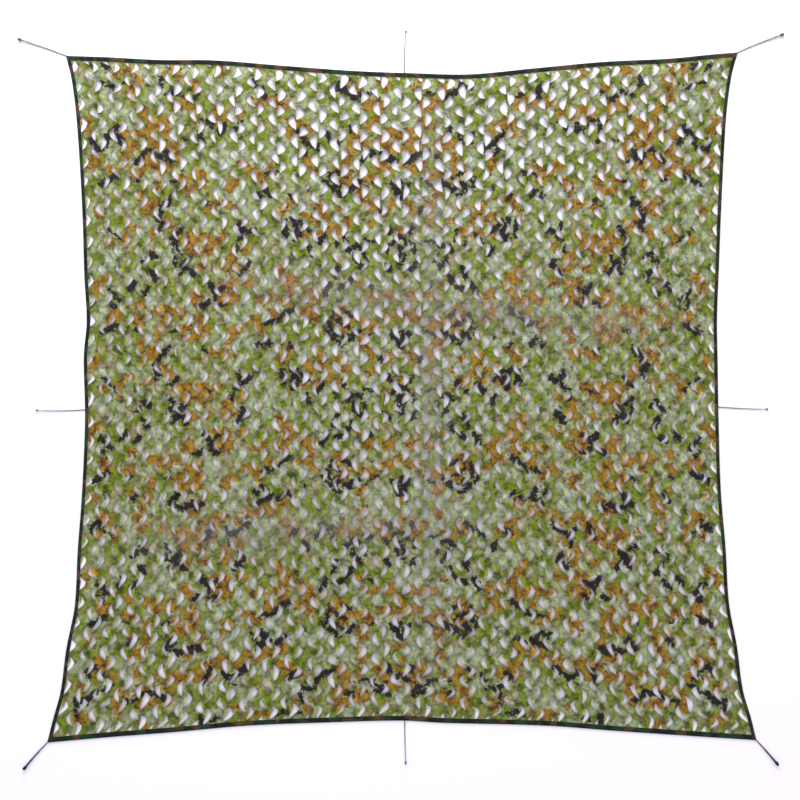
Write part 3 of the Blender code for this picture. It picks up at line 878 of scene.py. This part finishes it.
for panel in panels:
    store_print(panel)
CHARTED = (DARK_STROKES, DARK_ABOVE, DARK_BELOW, BAND_DARK, LOW_DARK, OCHRE_PATCHES, OCHRE_ABOVE,
           OCHRE_BELOW, BAND_OCHRE, LOW_OCHRE, SAGE_PATCHES)
print("charted marks:", sum(len(marks) for marks in CHARTED))

# %% [markdown]
# ## Cloth thickness
#
# Each panel becomes a thin closed sheet. The rim that this leaves round every cut is the raw edge
# of the cloth, where the pale yarn shows under the print, so it takes a second material.

# %% Thickness
for panel in panels:
    apply_modifier(panel, "SOLIDIFY", thickness=CLOTH_THICKNESS, offset=-1, material_offset_rim=1)
    make_active(panel)
    bpy.ops.object.shade_smooth_by_angle(angle=SMOOTH_ANGLE)
print("cloth triangles:", sum(triangle_count(panel) for panel in panels))

# %% [markdown]
# ## The folded tape round the edge
#
# A strip of darker cloth is folded over each raw edge and sewn down. A grid is laid along the
# edge: its short way follows the tape's section, from the inner edge underneath, round the fold
# and back over the top. The sewing puckers the upper layer a little.

# %% Tape
TAPE_THICKNESS = 0.0006
TAPE_STATIONS = 480
PUCKER_PITCH = 0.026
PUCKER_HEIGHT = 0.0004
PUCKER_DRIFT = (1.5, 0.23, 31)   # how unevenly the puckers follow each other
FOLD_HEIGHT = 2.4                # mm: the tape's fold, above which its upper layer starts
UPPER_RISE = 2.0                 # mm
SIDE_TAPE_DROP = 0.0005          # at the corners the side tapes pass under the long ones
SIDE_TAPE_WIDTH = 0.75           # the side tapes show narrower, as a share of the full width

# The tape's section. Columns: share of its width from the fold, height in mm.
TAPE_SECTION = (
    (1.00, 0.7), (0.55, 0.7), (0.12, 0.8), (0.015, 1.5), (0.00, 2.4), (0.02, 3.3), (0.12, 4.1),
    (0.35, 4.5), (0.60, 4.5), (0.80, 4.1), (0.92, 3.9), (1.00, 4.2),
)


def edge_place(edge, share, width_share):
    """Return the place at a share of an edge's length and a share of the tape's width from it."""
    inward = width_share * BAND
    if edge == "top":
        return net_points(share, inward)
    if edge == "bottom":
        return net_points(share, 1 - inward)
    if edge == "left":
        return net_points(inward, share)
    return net_points(1 - inward, share)


def make_tape(edge, side):
    """Lay one folded tape along an edge."""
    deselect_all()
    bpy.ops.mesh.primitive_grid_add(x_subdivisions=TAPE_STATIONS, size=1,
                                    y_subdivisions=len(TAPE_SECTION) - 1)
    tape = bpy.context.object
    tape.name = f"edge_tape_{edge}"
    points = get_points(tape)
    share = points[:, 0] + 0.5
    step = np.rint((points[:, 1] + 0.5) * (len(TAPE_SECTION) - 1)).astype(int)
    section = np.array(TAPE_SECTION)[step]
    width_share = section[:, 0] * (SIDE_TAPE_WIDTH if side else 1)
    place = edge_place(edge, share, width_share)
    upper = np.clip((section[:, 1] - FOLD_HEIGHT) / UPPER_RISE, 0, 1)
    run = share * 2 * HALF_SIDE
    drift = uneven(run, run, PUCKER_DRIFT)
    pucker = PUCKER_HEIGHT * np.sin(2 * np.pi * run / PUCKER_PITCH + drift)
    height = section[:, 1] / 1000 + upper * (pucker * section[:, 0] - (SIDE_TAPE_DROP if side else 0))
    set_points(tape, np.column_stack([place, height]))
    edit_all(tape, bpy.ops.mesh.normals_make_consistent, inside=False)
    apply_modifier(tape, "SOLIDIFY", thickness=TAPE_THICKNESS, offset=0)
    bpy.ops.object.shade_smooth_by_angle(angle=SMOOTH_ANGLE)
    return tape


EDGES = {"top": False, "bottom": False, "left": True, "right": True}     # True for the side edges
tapes = {edge: make_tape(edge, side) for edge, side in EDGES.items()}
print("tape triangles:", sum(triangle_count(tape) for tape in tapes.values()))

# %% [markdown]
# ## Stitches
#
# One row of short stitches holds each tape down near its inner edge. A single stitch is a stubby
# rod; an array makes the row, which is then laid along the edge.

# %% Stitches
STITCH_LENGTH = 0.0042
STITCH_PITCH = 0.0080
STITCH_RADIUS = 0.00040
STITCH_PLACE = 0.88              # share of the tape's width from the fold
STITCH_HEIGHT = 0.0043
STITCHED_SHARE = 0.985           # share of the edge that the row covers


def make_stitches(edge, side):
    """Lay a row of stitches along one tape."""
    deselect_all()
    bpy.ops.mesh.primitive_cylinder_add(vertices=5, radius=STITCH_RADIUS, depth=STITCH_LENGTH,
                                        rotation=(0, math.pi / 2, 0))
    row = bpy.context.object
    row.name = f"stitches_{edge}"
    bpy.ops.object.transform_apply(location=False, rotation=True, scale=False)
    count = int(2 * HALF_SIDE * STITCHED_SHARE / STITCH_PITCH)
    apply_modifier(row, "ARRAY", count=count, use_relative_offset=False, use_constant_offset=True,
                   constant_offset_displace=(STITCH_PITCH, 0, 0))
    points = get_points(row)
    share = (points[:, 0] + STITCH_PITCH) / (2 * HALF_SIDE)
    width_share = STITCH_PLACE * (SIDE_TAPE_WIDTH if side else 1) + points[:, 1] / BINDING_WIDTH
    place = edge_place(edge, share, width_share)
    height = STITCH_HEIGHT - (SIDE_TAPE_DROP if side else 0) + points[:, 2]
    set_points(row, np.column_stack([place, height]))
    edit_all(row, bpy.ops.mesh.normals_make_consistent, inside=False)
    bpy.ops.object.shade_smooth_by_angle(angle=SMOOTH_ANGLE)
    return row


stitches = {edge: make_stitches(edge, side) for edge, side in EDGES.items()}
print("stitch triangles:", sum(triangle_count(row) for row in stitches.values()))

# %% [markdown]
# ## Tie cords
#
# Eight cords hold the net: a thicker one at each corner, which is wrapped thicker again towards
# its knot, and a thin one at the middle of each edge. Each runs out over the floor with a slight
# bow. A cord is laid from twisted strands, and each strand is a curve that winds round the route.

# %% Cord tables
CORNER_CORD = dict(net_radius=0.00225, knot_radius=0.00425, knot=0.0065, knot_length=0.020)
EDGE_CORD = dict(net_radius=0.0020, knot_radius=0.0020, knot=0.0040, knot_length=0.011)
CORNER_SEAT = 0.005              # a corner cord starts this far inside the corner
GAP = 0.0003
CLIMB_START = 0.75               # the cord climbs to its knot's middle over its last quarter
ROUTE_POINTS = 25
CORD_SMOOTH_ANGLE = math.radians(60)

# Columns: corner, outer end of the knot x, y, sideways bow.
CORNER_TIES = (
    ("top_left", -1.718, 1.568, -0.002),
    ("top_right", 1.709, 1.590, 0.003),
    ("bottom_left", -1.599, -1.616, -0.002),
    ("bottom_right", 1.590, -1.598, 0.001),
)
# Columns: edge, share of its length, outer end of the knot x, y, sideways bow.
EDGE_TIES = (
    ("top", 0.504, 0.018, 1.606, 0.003),
    ("bottom", 0.504, 0.016, -1.594, -0.001),
    ("left", 0.529, -1.590, -0.097, 0.003),
    ("right", 0.529, 1.590, -0.092, -0.002),
)


# %% Cord functions
def cord_route(seat, target, bow, sizes):
    """Return the cord's route from its seat to its knot, and its radius at each point."""
    seat, target = Vector((*seat, 0)), Vector((*target, 0))
    pull = (target - seat).normalized()
    start = seat + pull * GAP
    end = target - pull * (sizes["knot_length"] + GAP)
    side = Vector((-pull.y, pull.x, 0))
    route, radii = [], []
    for step in range(ROUTE_POINTS):
        share = step / (ROUTE_POINTS - 1)
        radius = sizes["net_radius"] + (sizes["knot_radius"] - sizes["net_radius"]) * share
        climb = max(0, (share - CLIMB_START) / (1 - CLIMB_START))
        height = radius + climb * climb * (3 - 2 * climb) * (sizes["knot"] - sizes["knot_radius"])
        place = start.lerp(end, share) + side * bow * math.sin(math.pi * share)
        route.append(Vector((place.x, place.y, height)))
        radii.append(radius)
    return route, radii


def along_route(route, distance):
    """Return the point and direction at a distance along a route."""
    for start, end in zip(route, route[1:]):
        step = (end - start).length
        if distance <= step or end is route[-1]:
            return start.lerp(end, min(distance / step, 1)), (end - start).normalized()
        distance -= step


def route_length(route):
    return sum((end - start).length for start, end in zip(route, route[1:]))


def strands_to_mesh(name, strands):
    """Turn strands, each a list of points and a list of radii in metres, into one mesh."""
    curve_data = bpy.data.curves.new(name, "CURVE")
    curve_data.dimensions = "3D"
    curve_data.bevel_depth = 0.001
    curve_data.bevel_resolution = 1
    curve_data.use_fill_caps = True
    for points, radii in strands:
        spline = curve_data.splines.new("POLY")
        spline.points.add(len(points) - 1)
        for control, point, radius in zip(spline.points, points, radii):
            control.co = (*point, 1)
            control.radius = radius * 1000      # the bevel depth above is one thousandth
    made = bpy.data.objects.new(name, curve_data)
    bpy.context.scene.collection.objects.link(made)
    make_active(made)
    bpy.ops.object.convert(target="MESH")
    made = bpy.context.object
    made.name = name
    bpy.ops.object.shade_smooth_by_angle(angle=CORD_SMOOTH_ANGLE)
    return made


# %% Lay the cords
STRANDS = 3
STRAND_SHARE = 0.50              # strand radius as a share of the cord's radius
TWIST_PITCH = 6.5                # one turn of a strand, in cord radii
TURN_POINTS = 12


def make_cord(name, route, radii):
    """Wind three strands round a route."""
    length = route_length(route)

    def radius_at(distance):
        return radii[0] + (radii[-1] - radii[0]) * distance / length

    twist, angles, distances = 0.0, [], []
    distance = 0.0
    while distance < length:
        distances.append(distance)
        angles.append(twist)
        distance += TWIST_PITCH * radius_at(distance) / TURN_POINTS
        twist += 2 * math.pi / TURN_POINTS
    distances.append(length)
    angles.append(twist)
    strands = []
    for number in range(STRANDS):
        points, thick = [], []
        for distance, angle in zip(distances, angles):
            middle, ahead = along_route(route, distance)
            radius = radius_at(distance)
            side = Vector((-ahead.y, ahead.x, 0)).normalized()
            up = ahead.cross(side)
            turn = angle + 2 * math.pi * number / STRANDS
            offset = (side * math.cos(turn) + up * math.sin(turn)) * radius * (1 - STRAND_SHARE)
            points.append(middle + offset)
            thick.append(radius * STRAND_SHARE)
        strands.append((points, thick))
    made = strands_to_mesh(name, strands)
    start = route[0]
    direction = (route[-1] - start).normalized()
    points = get_points(made)
    store_values(made, "run_share", (points - np.array(start)) @ np.array(direction) / length)
    return made


# %% [markdown]
# ## Stopper knots
#
# Each cord ends in a barrel knot: the cord winds round itself in touching turns and its end
# crosses back over them. The turns are one helix round a short core.

# %% Knots
KNOT_WRAPS = 4
WRAP_SHARE = 0.32                # wrap's own radius as a share of the knot's radius
WRAP_TAPER = 0.18                # the turns are this much narrower at the knot's two ends
CORE_SHARE = 0.75
CORE_OVERHANG = 0.8              # how far the core stands out of the turns, in wraps
CROSSING_STEPS = 8
CROSSING_SHARE = 0.8             # how thick the end that crosses back is, in wraps
CROSSING_ANGLE = (0.28, 0.44)    # where it starts and how far it goes round, in half turns,
CROSSING_RUN = (0.08, 0.84)      # along the knot, as shares of its length,
CROSSING_LIFT = (0.2, 1.0)       # and off the turns: at its ends, and more in its middle


def make_knot(name, route, sizes):
    """Wind a stopper knot just past the end of a cord."""
    ahead = route[-1] - route[-2]
    ahead = Vector((ahead.x, ahead.y, 0)).normalized()
    side = Vector((-ahead.y, ahead.x, 0))
    up = Vector((0, 0, 1))
    wrap = sizes["knot"] * WRAP_SHARE
    start = route[-1] + ahead * (GAP + wrap)
    reach = sizes["knot_length"] - 2 * wrap
    around = sizes["knot"] - wrap
    turns = []
    for step in range(KNOT_WRAPS * TURN_POINTS + 1):
        share = step / (KNOT_WRAPS * TURN_POINTS)
        angle = 2 * math.pi * KNOT_WRAPS * share - math.pi / 2
        bulge = around * (1 - WRAP_TAPER * (2 * share - 1) ** 2)
        turns.append(start + ahead * reach * share + (side * math.cos(angle) + up * math.sin(angle)) * bulge)
    core = [start - ahead * wrap * CORE_OVERHANG, start + ahead * (reach + wrap * CORE_OVERHANG)]
    crossing = []
    for step in range(CROSSING_STEPS + 1):
        share = step / CROSSING_STEPS
        angle = math.pi * (CROSSING_ANGLE[0] + CROSSING_ANGLE[1] * share)
        lift = around + wrap * (CROSSING_LIFT[0] + CROSSING_LIFT[1] * math.sin(math.pi * share))
        crossing.append(start + ahead * reach * (CROSSING_RUN[0] + CROSSING_RUN[1] * share)
                        + (side * math.cos(angle) + up * math.sin(angle)) * lift)
    strands = [
        (turns, [wrap] * len(turns)),
        (core, [around * CORE_SHARE] * 2),
        (crossing, [wrap * CROSSING_SHARE] * len(crossing)),
    ]
    return strands_to_mesh(name, strands)


# %% Lay all eight ties
ties = {}
for corner, x, y, bow in CORNER_TIES:
    place = Vector(CORNERS[corner])
    pull = (Vector((x, y)) - place).normalized()
    route, radii = cord_route(place - pull * CORNER_SEAT, (x, y), bow, CORNER_CORD)
    ties[corner] = dict(route=route, radii=radii, sizes=CORNER_CORD)
for edge, share, x, y, bow in EDGE_TIES:
    place = edge_place(edge, np.array([share]), np.array([0.0]))[0]
    route, radii = cord_route(place, (x, y), bow, EDGE_CORD)
    ties[f"{edge}_edge"] = dict(route=route, radii=radii, sizes=EDGE_CORD)
for name, tie in ties.items():
    tie["cord"] = make_cord(f"cord_{name}", tie["route"], tie["radii"])
    tie["knot"] = make_knot(f"stopper_{name}", tie["route"], tie["sizes"])
    print(name, "cord, m:", round(route_length(tie["route"]), 3))

# %% [markdown]
# ## Shared effects
#
# The materials share a few effects, kept as node groups: a mark with a ragged edge, patches made
# by noise, the whole woodland print, and the weave and crumple of cloth.

# %% Node helpers
def add_node(tree, kind, sockets=None, **settings):
    """Add a node, set it, and set or link its inputs."""
    node = tree.nodes.new(kind)
    count = len(tree.nodes)
    node.location = (240 * (count % 7), -260 * (count // 7))
    for name, value in settings.items():
        setattr(node, name, value)
    for name, value in (sockets or {}).items():
        if isinstance(value, bpy.types.NodeSocket):
            tree.links.new(value, node.inputs[name])
        else:
            node.inputs[name].default_value = value
    return node


def math_node(tree, operation, first, second, clamp=False):
    """Add a Math node and return its output."""
    node = add_node(tree, "ShaderNodeMath", {0: first, 1: second}, operation=operation, use_clamp=clamp)
    return node.outputs[0]


def mix_colours(tree, factor, first, second, blend="MIX"):
    """Mix two colours and return the output. A Mix node's colour sockets are numbers 6 and 7."""
    node = add_node(tree, "ShaderNodeMix", data_type="RGBA", blend_type=blend)
    for index, value in ((0, factor), (6, first), (7, second)):
        if isinstance(value, bpy.types.NodeSocket):
            tree.links.new(value, node.inputs[index])
        else:
            node.inputs[index].default_value = value if index == 0 else (*value, 1)
    return node.outputs[2]


def new_group(name, inputs, outputs):
    """Make a node group. Returns the group, its inputs inside and its outputs inside."""
    group = bpy.data.node_groups.new(name, "ShaderNodeTree")
    for socket_name, kind, value in inputs:
        socket = group.interface.new_socket(socket_name, in_out="INPUT", socket_type=kind)
        if value is not None:
            socket.default_value = value
    for socket_name, kind in outputs:
        group.interface.new_socket(socket_name, in_out="OUTPUT", socket_type=kind)
    entry = add_node(group, "NodeGroupInput")
    leave = add_node(group, "NodeGroupOutput")
    return group, entry.outputs, leave.inputs


def place_group(tree, group, sockets):
    """Put a group into a material with its own values and return its outputs."""
    return add_node(tree, "ShaderNodeGroup", sockets, node_tree=group).outputs


FLOAT, COLOUR, VECTOR = "NodeSocketFloat", "NodeSocketColor", "NodeSocketVector"


# %% Ragged mark and patches
def make_ragged_mark():
    """A charted distance turned into a mask with a ragged edge."""
    group, given, result = new_group(
        "ragged mark",
        [("Vector", VECTOR, None), ("Distance", FLOAT, 1.0), ("Scale", FLOAT, 90.0),
         ("Raggedness", FLOAT, 0.012), ("Softness", FLOAT, 0.0028)],
        [("Mask", FLOAT)],
    )
    noise = add_node(group, "ShaderNodeTexNoise", {"Vector": given["Vector"], "Scale": given["Scale"],
                                                   "Detail": 3.0, "Roughness": 0.6})
    centred = math_node(group, "SUBTRACT", noise.outputs["Fac"], 0.5)
    shift = math_node(group, "MULTIPLY", centred, given["Raggedness"])
    moved = math_node(group, "ADD", given["Distance"], shift)
    soft = math_node(group, "DIVIDE", moved, given["Softness"])
    half = math_node(group, "MULTIPLY", soft, -0.5)
    mask = math_node(group, "ADD", half, 0.5, clamp=True)
    group.links.new(mask, result["Mask"])
    return group


def make_patches():
    """Patches of noise: everything above a level, with a fairly crisp edge."""
    group, given, result = new_group(
        "patches",
        [("Vector", VECTOR, None), ("Scale", FLOAT, 30.0), ("Level", FLOAT, 0.5), ("Sharpness", FLOAT, 20.0),
         ("Detail", FLOAT, 2.0)],
        [("Mask", FLOAT)],
    )
    noise = add_node(group, "ShaderNodeTexNoise", {"Vector": given["Vector"], "Scale": given["Scale"],
                                                   "Detail": given["Detail"], "Roughness": 0.55})
    above = math_node(group, "SUBTRACT", noise.outputs["Fac"], given["Level"])
    steep = math_node(group, "MULTIPLY", above, given["Sharpness"])
    mask = math_node(group, "ADD", steep, 0.5, clamp=True)
    group.links.new(mask, result["Mask"])
    return group


ragged_mark = make_ragged_mark()
patches = make_patches()


# %% Woodland print
def shifted(tree, vector, amount):
    """Move a pattern's coordinates, so that two patterns differ."""
    return add_node(tree, "ShaderNodeVectorMath", {0: vector, 1: amount}, operation="ADD").outputs[0]


PRINT_COLOURS = {
    "Green": (0.168, 0.214, 0.040),
    "Lime": (0.146, 0.192, 0.009),
    "Olive": (0.272, 0.228, 0.120),
    "Deep green": (0.058, 0.085, 0.015),
    "Pale": (0.285, 0.330, 0.190),
    "Ochre": (0.272, 0.148, 0.016),
    "Brown": (0.125, 0.052, 0.010),
    "Dark": (0.019, 0.014, 0.018),
}

# Random patches, laid one over the other on the green. Columns: shift, scale, level, sharpness.
RANDOM_PATCHES = {
    "Lime": ((3.1, 0.4, 0), 17.0, 0.46, 5.0),
    "Olive": ((7.7, 2.9, 0), 20.0, 0.565, 7.0),
    "Deep green": ((1.3, 8.2, 0), 24.0, 0.610, 9.0),
    "Pale": ((5.9, 6.1, 0), 14.0, 0.550, 8.0),
}
BROWN_PATCHES = ((2.2, 5.5, 0), 44.0, 0.575, 11.0)

# Charted marks, laid over the patches. Columns: scale and amount of the ragged edge.
MARK_EDGES = {"Pale": (60.0, 0.060), "Ochre": (52.0, 0.055), "Dark": (75.0, 0.042)}


def make_woodland_print():
    """Random patches of green, olive and pale, then the charted pale, ochre and dark marks."""
    group, given, result = new_group(
        "woodland print",
        [("Vector", VECTOR, None), *((f"{name} distance", FLOAT, 1.0) for name in MARK_EDGES),
         *((name, COLOUR, None) for name in PRINT_COLOURS)],
        [("Color", COLOUR)],
    )
    vector = given["Vector"]

    def patch_mask(shift, scale, level, sharpness):
        return place_group(group, patches, {"Vector": shifted(group, vector, shift), "Scale": scale,
                                            "Level": level, "Sharpness": sharpness})["Mask"]

    def mark_mask(distance, scale, raggedness):
        return place_group(group, ragged_mark, {"Vector": vector, "Distance": distance, "Scale": scale,
                                                "Raggedness": raggedness})["Mask"]

    colour = given["Green"]
    for name, sizes in RANDOM_PATCHES.items():
        colour = mix_colours(group, patch_mask(*sizes), colour, given[name])
    ochre = mix_colours(group, patch_mask(*BROWN_PATCHES), given["Ochre"], given["Brown"])
    for name, sizes in MARK_EDGES.items():
        marked = ochre if name == "Ochre" else given[name]
        colour = mix_colours(group, mark_mask(given[f"{name} distance"], *sizes), colour, marked)
    group.links.new(colour, result["Color"])
    return group


woodland_print = make_woodland_print()


# %% Weave and crumple
def make_cloth_surface():
    """The height of the weave's threads and of small crumples, and an uneven tone."""
    group, given, result = new_group(
        "cloth surface",
        [("Vector", VECTOR, None), ("Thread scale", FLOAT, 260.0), ("Crumple scale", FLOAT, 50.0),
         ("Crumple", FLOAT, 1.0), ("Thread", FLOAT, 0.08)],
        [("Height", FLOAT), ("Tone", FLOAT)],
    )
    heights = []
    for direction in ("X", "Y"):
        wave = add_node(group, "ShaderNodeTexWave",
                        {"Vector": given["Vector"], "Scale": given["Thread scale"],
                         "Distortion": 0.6, "Detail": 1.0}, bands_direction=direction)
        heights.append(wave.outputs["Fac"])
    threads = math_node(group, "MAXIMUM", heights[0], heights[1])
    crumple = add_node(group, "ShaderNodeTexNoise",
                       {"Vector": given["Vector"], "Scale": given["Crumple scale"],
                        "Detail": 4.0, "Roughness": 0.6, "Distortion": 0.8})
    thread_part = math_node(group, "MULTIPLY", threads, given["Thread"])
    crumple_part = math_node(group, "MULTIPLY", crumple.outputs["Fac"], given["Crumple"])
    height = math_node(group, "ADD", thread_part, crumple_part)
    grain = add_node(group, "ShaderNodeTexNoise", {"Vector": given["Vector"], "Scale": 60.0, "Detail": 2.0})
    tone = add_node(group, "ShaderNodeMapRange",
                    {"Value": grain.outputs["Fac"], "From Min": 0.3, "From Max": 0.7,
                     "To Min": 0.64, "To Max": 1.36})
    group.links.new(height, result["Height"])
    group.links.new(tone.outputs["Result"], result["Tone"])
    return group


cloth_surface = make_cloth_surface()

# %% [markdown]
# ## Materials
#
# The net's cloth is printed; its raw edge is pale yarn. The tape is a darker camouflage cloth.
# The cords change colour along their length, from the net out to the knot.

# %% Material helpers
def new_material(name, roughness):
    """Make a dull Principled material and return it with its tree and shader."""
    material = bpy.data.materials.new(name)
    material.use_nodes = True
    tree = material.node_tree
    shader = tree.nodes["Principled BSDF"]
    shader.inputs["Roughness"].default_value = roughness
    shader.inputs["Specular IOR Level"].default_value = 0.2
    return material, tree, shader


def own_coordinates(tree):
    return add_node(tree, "ShaderNodeTexCoord").outputs["Object"]


def attribute(tree, name):
    return add_node(tree, "ShaderNodeAttribute", attribute_name=name).outputs["Fac"]


def tint(tree, colour, tone):
    """Multiply a colour by a tone."""
    grey = add_node(tree, "ShaderNodeCombineColor", {0: tone, 1: tone, 2: tone}).outputs[0]
    return mix_colours(tree, 1.0, colour, grey, blend="MULTIPLY")


def finish_surface(tree, shader, colour, height, distance):
    """Link the colour, and the height as a bump."""
    tree.links.new(colour, shader.inputs["Base Color"])
    bump = add_node(tree, "ShaderNodeBump", {"Height": height, "Distance": distance, "Strength": 1.0})
    tree.links.new(bump.outputs["Normal"], shader.inputs["Normal"])


# %% Net cloth
FOLD_COLOUR = (0.22, 0.21, 0.20)
FOLD_HAZE = 0.25
RAW_YARN = (0.36, 0.33, 0.33)
CUT_END_SHADE = -0.80              # painted shade: how much darker the cloth is at the ends of a cut
LEAF_HIGHLIGHT = 0.50                # painted highlight: how much lighter it is on the leaf
FRAY_START = 0.82                # where the raw yarn starts to show, from 0 at the window to 1 at the lip
FRAY_STEEPNESS = 3.6


def make_net_material():
    """Printed cloth: painted light on the leaves, painted shade round the cuts' far sides and ends, hazy on
    the creases.
    """
    material, tree, shader = new_material("printed net cloth", roughness=0.92)
    vector = own_coordinates(tree)
    printed = place_group(tree, woodland_print, {
        "Vector": vector, "Dark distance": attribute(tree, "print_dark"),
        "Ochre distance": attribute(tree, "print_ochre"), "Pale distance": attribute(tree, "print_sage"),
        **{name: (*colour, 1) for name, colour in PRINT_COLOURS.items()}})["Color"]
    surface = place_group(tree, cloth_surface, {"Vector": vector})
    # Painted shade at the cuts' ends and far sides and a painted highlight on the leaves scale the print's
    # tone.
    twist = math_node(tree, "MULTIPLY", attribute(tree, "twist"), CUT_END_SHADE)
    leaf = math_node(tree, "MULTIPLY", attribute(tree, "leaf"), LEAF_HIGHLIGHT)
    painted_light_and_shade = math_node(tree, "ADD", math_node(tree, "ADD", twist, leaf), 1.0)
    colour = tint(tree, printed, math_node(tree, "MULTIPLY", surface["Tone"], painted_light_and_shade))
    haze = math_node(tree, "MULTIPLY", attribute(tree, "fold_haze"), FOLD_HAZE)
    colour = mix_colours(tree, haze, colour, FOLD_COLOUR)
    near_cut = math_node(tree, "SUBTRACT", attribute(tree, "lip"), FRAY_START)
    frayed = math_node(tree, "MULTIPLY", near_cut, FRAY_STEEPNESS, clamp=True)
    colour = mix_colours(tree, frayed, colour, RAW_YARN)
    finish_surface(tree, shader, colour, surface["Height"], distance=0.0046)
    return material


def make_plain_cloth(name, base, roughness, crumple=0.3):
    """One plain yarn colour with an uneven tone."""
    material, tree, shader = new_material(name, roughness)
    surface = place_group(tree, cloth_surface, {"Vector": own_coordinates(tree), "Crumple": crumple})
    finish_surface(tree, shader, tint(tree, base, surface["Tone"]), surface["Height"], distance=0.0004)
    return material


net_material = make_net_material()
raw_edge_material = make_plain_cloth("raw cloth edge", RAW_YARN, 0.95)
for panel in panels:
    panel.data.materials.append(net_material)
    panel.data.materials.append(raw_edge_material)

# %% Tape and thread
TAPE_GREEN = (0.010, 0.032, 0.014)
TAPE_BLACK = (0.007, 0.009, 0.007)
TAPE_BROWN = (0.060, 0.030, 0.014)
THREAD = (0.030, 0.045, 0.025)


def make_tape_material():
    """Dark green tape with long black and brown stretches."""
    material, tree, shader = new_material("camouflage tape", roughness=0.88)
    vector = own_coordinates(tree)
    black = place_group(tree, patches, {"Vector": vector, "Scale": 15.0, "Level": 0.46,
                                        "Sharpness": 14.0})["Mask"]
    brown = place_group(tree, patches, {"Vector": shifted(tree, vector, (4.0, 7.0, 0)), "Scale": 13.0,
                                        "Level": 0.57, "Sharpness": 18.0})["Mask"]
    surface = place_group(tree, cloth_surface, {"Vector": vector, "Crumple": 0.5})
    colour = mix_colours(tree, black, TAPE_GREEN, TAPE_BLACK)
    colour = mix_colours(tree, brown, colour, TAPE_BROWN)
    finish_surface(tree, shader, tint(tree, colour, surface["Tone"]), surface["Height"], distance=0.0006)
    return material


tape_material = make_tape_material()
thread_material = make_plain_cloth("sewing thread", THREAD, 0.8)
for edge in EDGES:
    tapes[edge].data.materials.append(tape_material)
    stitches[edge].data.materials.append(thread_material)


# %% Cords
def make_cord_material(name, near_net, middle, outer):
    """Twisted cord whose colour changes along its run."""
    material, tree, shader = new_material(name, roughness=0.9)
    vector = own_coordinates(tree)
    share = attribute(tree, "run_share")
    ramp = add_node(tree, "ShaderNodeValToRGB", {"Fac": share})
    stops = ramp.color_ramp.elements
    stops[0].position = 0.0
    stops[0].color = (*near_net, 1)
    stops[1].position = 0.95
    stops[1].color = (*outer, 1)
    between = stops.new(0.5)
    between.color = (*middle, 1)
    surface = place_group(tree, cloth_surface, {"Vector": vector, "Thread scale": 420.0,
                                                "Crumple scale": 700.0, "Thread": 0.5, "Crumple": 0.5})
    colour = tint(tree, ramp.outputs["Color"], surface["Tone"])
    finish_surface(tree, shader, colour, surface["Height"], distance=0.0004)
    return material


# Columns: colour near the net, at the middle, at the outer end, and of the knot.
CORD_COLOURS = {
    "olive": ((0.155, 0.135, 0.150), (0.270, 0.260, 0.220), (0.300, 0.290, 0.190), (0.110, 0.110, 0.070)),
    "charcoal": ((0.120, 0.110, 0.130), (0.060, 0.058, 0.065), (0.016, 0.016, 0.018), (0.012, 0.012, 0.013)),
    "grey": ((0.070, 0.070, 0.072), (0.160, 0.160, 0.158), (0.320, 0.320, 0.315), (0.090, 0.090, 0.090)),
}
cord_materials = {}
knot_materials = {}
for finish, (near_net, middle, outer, knot) in CORD_COLOURS.items():
    cord_materials[finish] = make_cord_material(f"{finish} cord", near_net, middle, outer)
    knot_materials[finish] = make_plain_cloth(f"{finish} knot", knot, 0.9, crumple=0.6)
for name, tie in ties.items():
    tie["finish"] = "grey" if name.endswith("edge") else "olive" if name.startswith("top") else "charcoal"
    tie["cord"].data.materials.append(cord_materials[tie["finish"]])
    tie["knot"].data.materials.append(knot_materials[tie["finish"]])
print("materials:", len(bpy.data.materials))

# %% [markdown]
# ## Floor and light
#
# The net lies on a plain pale floor with a trace of lilac, bright enough to show white round the
# net as in the picture. An even white sky lights it all, and one wide soft light stands past the
# net's top edge, a little to the left, so the net is brightest there and every lifted leaf
# throws a soft shade.

# %% Floor
deselect_all()
bpy.ops.mesh.primitive_plane_add(size=14, location=(0, 0, -0.0005))
floor = bpy.context.object
floor.name = "floor"
floor_material, floor_tree, floor_shader = new_material("pale floor", roughness=0.9)
floor_shader.inputs["Base Color"].default_value = (0.850, 0.823, 0.950, 1)
floor.data.materials.append(floor_material)
floor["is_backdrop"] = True

# %% Light
SKY_STRENGTH = 0.94
KEY_POWER = 540.0
KEY_SIZE = 4.5
KEY_PLACE = Vector((-0.6, 5.4, 2.2))
KEY_AIM = Vector((0, 0, 0))

world = bpy.data.worlds.new("studio")
bpy.context.scene.world = world
world.use_nodes = True
world.node_tree.nodes["Background"].inputs["Color"].default_value = (1, 1, 1, 1)
world.node_tree.nodes["Background"].inputs["Strength"].default_value = SKY_STRENGTH
key_data = bpy.data.lights.new("key", "AREA")
key_data.energy = KEY_POWER
key_data.size = KEY_SIZE
key = bpy.data.objects.new("key", key_data)
bpy.context.scene.collection.objects.link(key)
key.location = KEY_PLACE
key.rotation_euler = (KEY_AIM - KEY_PLACE).to_track_quat("-Z", "Y").to_euler()
bpy.context.scene.view_settings.view_transform = "Standard"

# %% [markdown]
# ## Attaching the pieces
#
# Every piece rides on the net's one body, and the plain solid that it dresses is hidden.

# %% Attach the pieces
for number, panel in enumerate(panels):
    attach(panel, "root")
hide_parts("net_cloth")

for edge, tape in tapes.items():
    rows = stitches[edge]
    for piece in (tape, rows):
        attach(piece, "root")
    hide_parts(f"binding_{edge}")

for name, tie in ties.items():
    cord, knot, route = tie["cord"], tie["knot"], tie["route"]
    for piece in (cord, knot):
        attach(piece, "root")
    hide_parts(f"tie_{name}")
    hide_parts(f"knot_{name}")

bpy.data.objects.remove(cell)
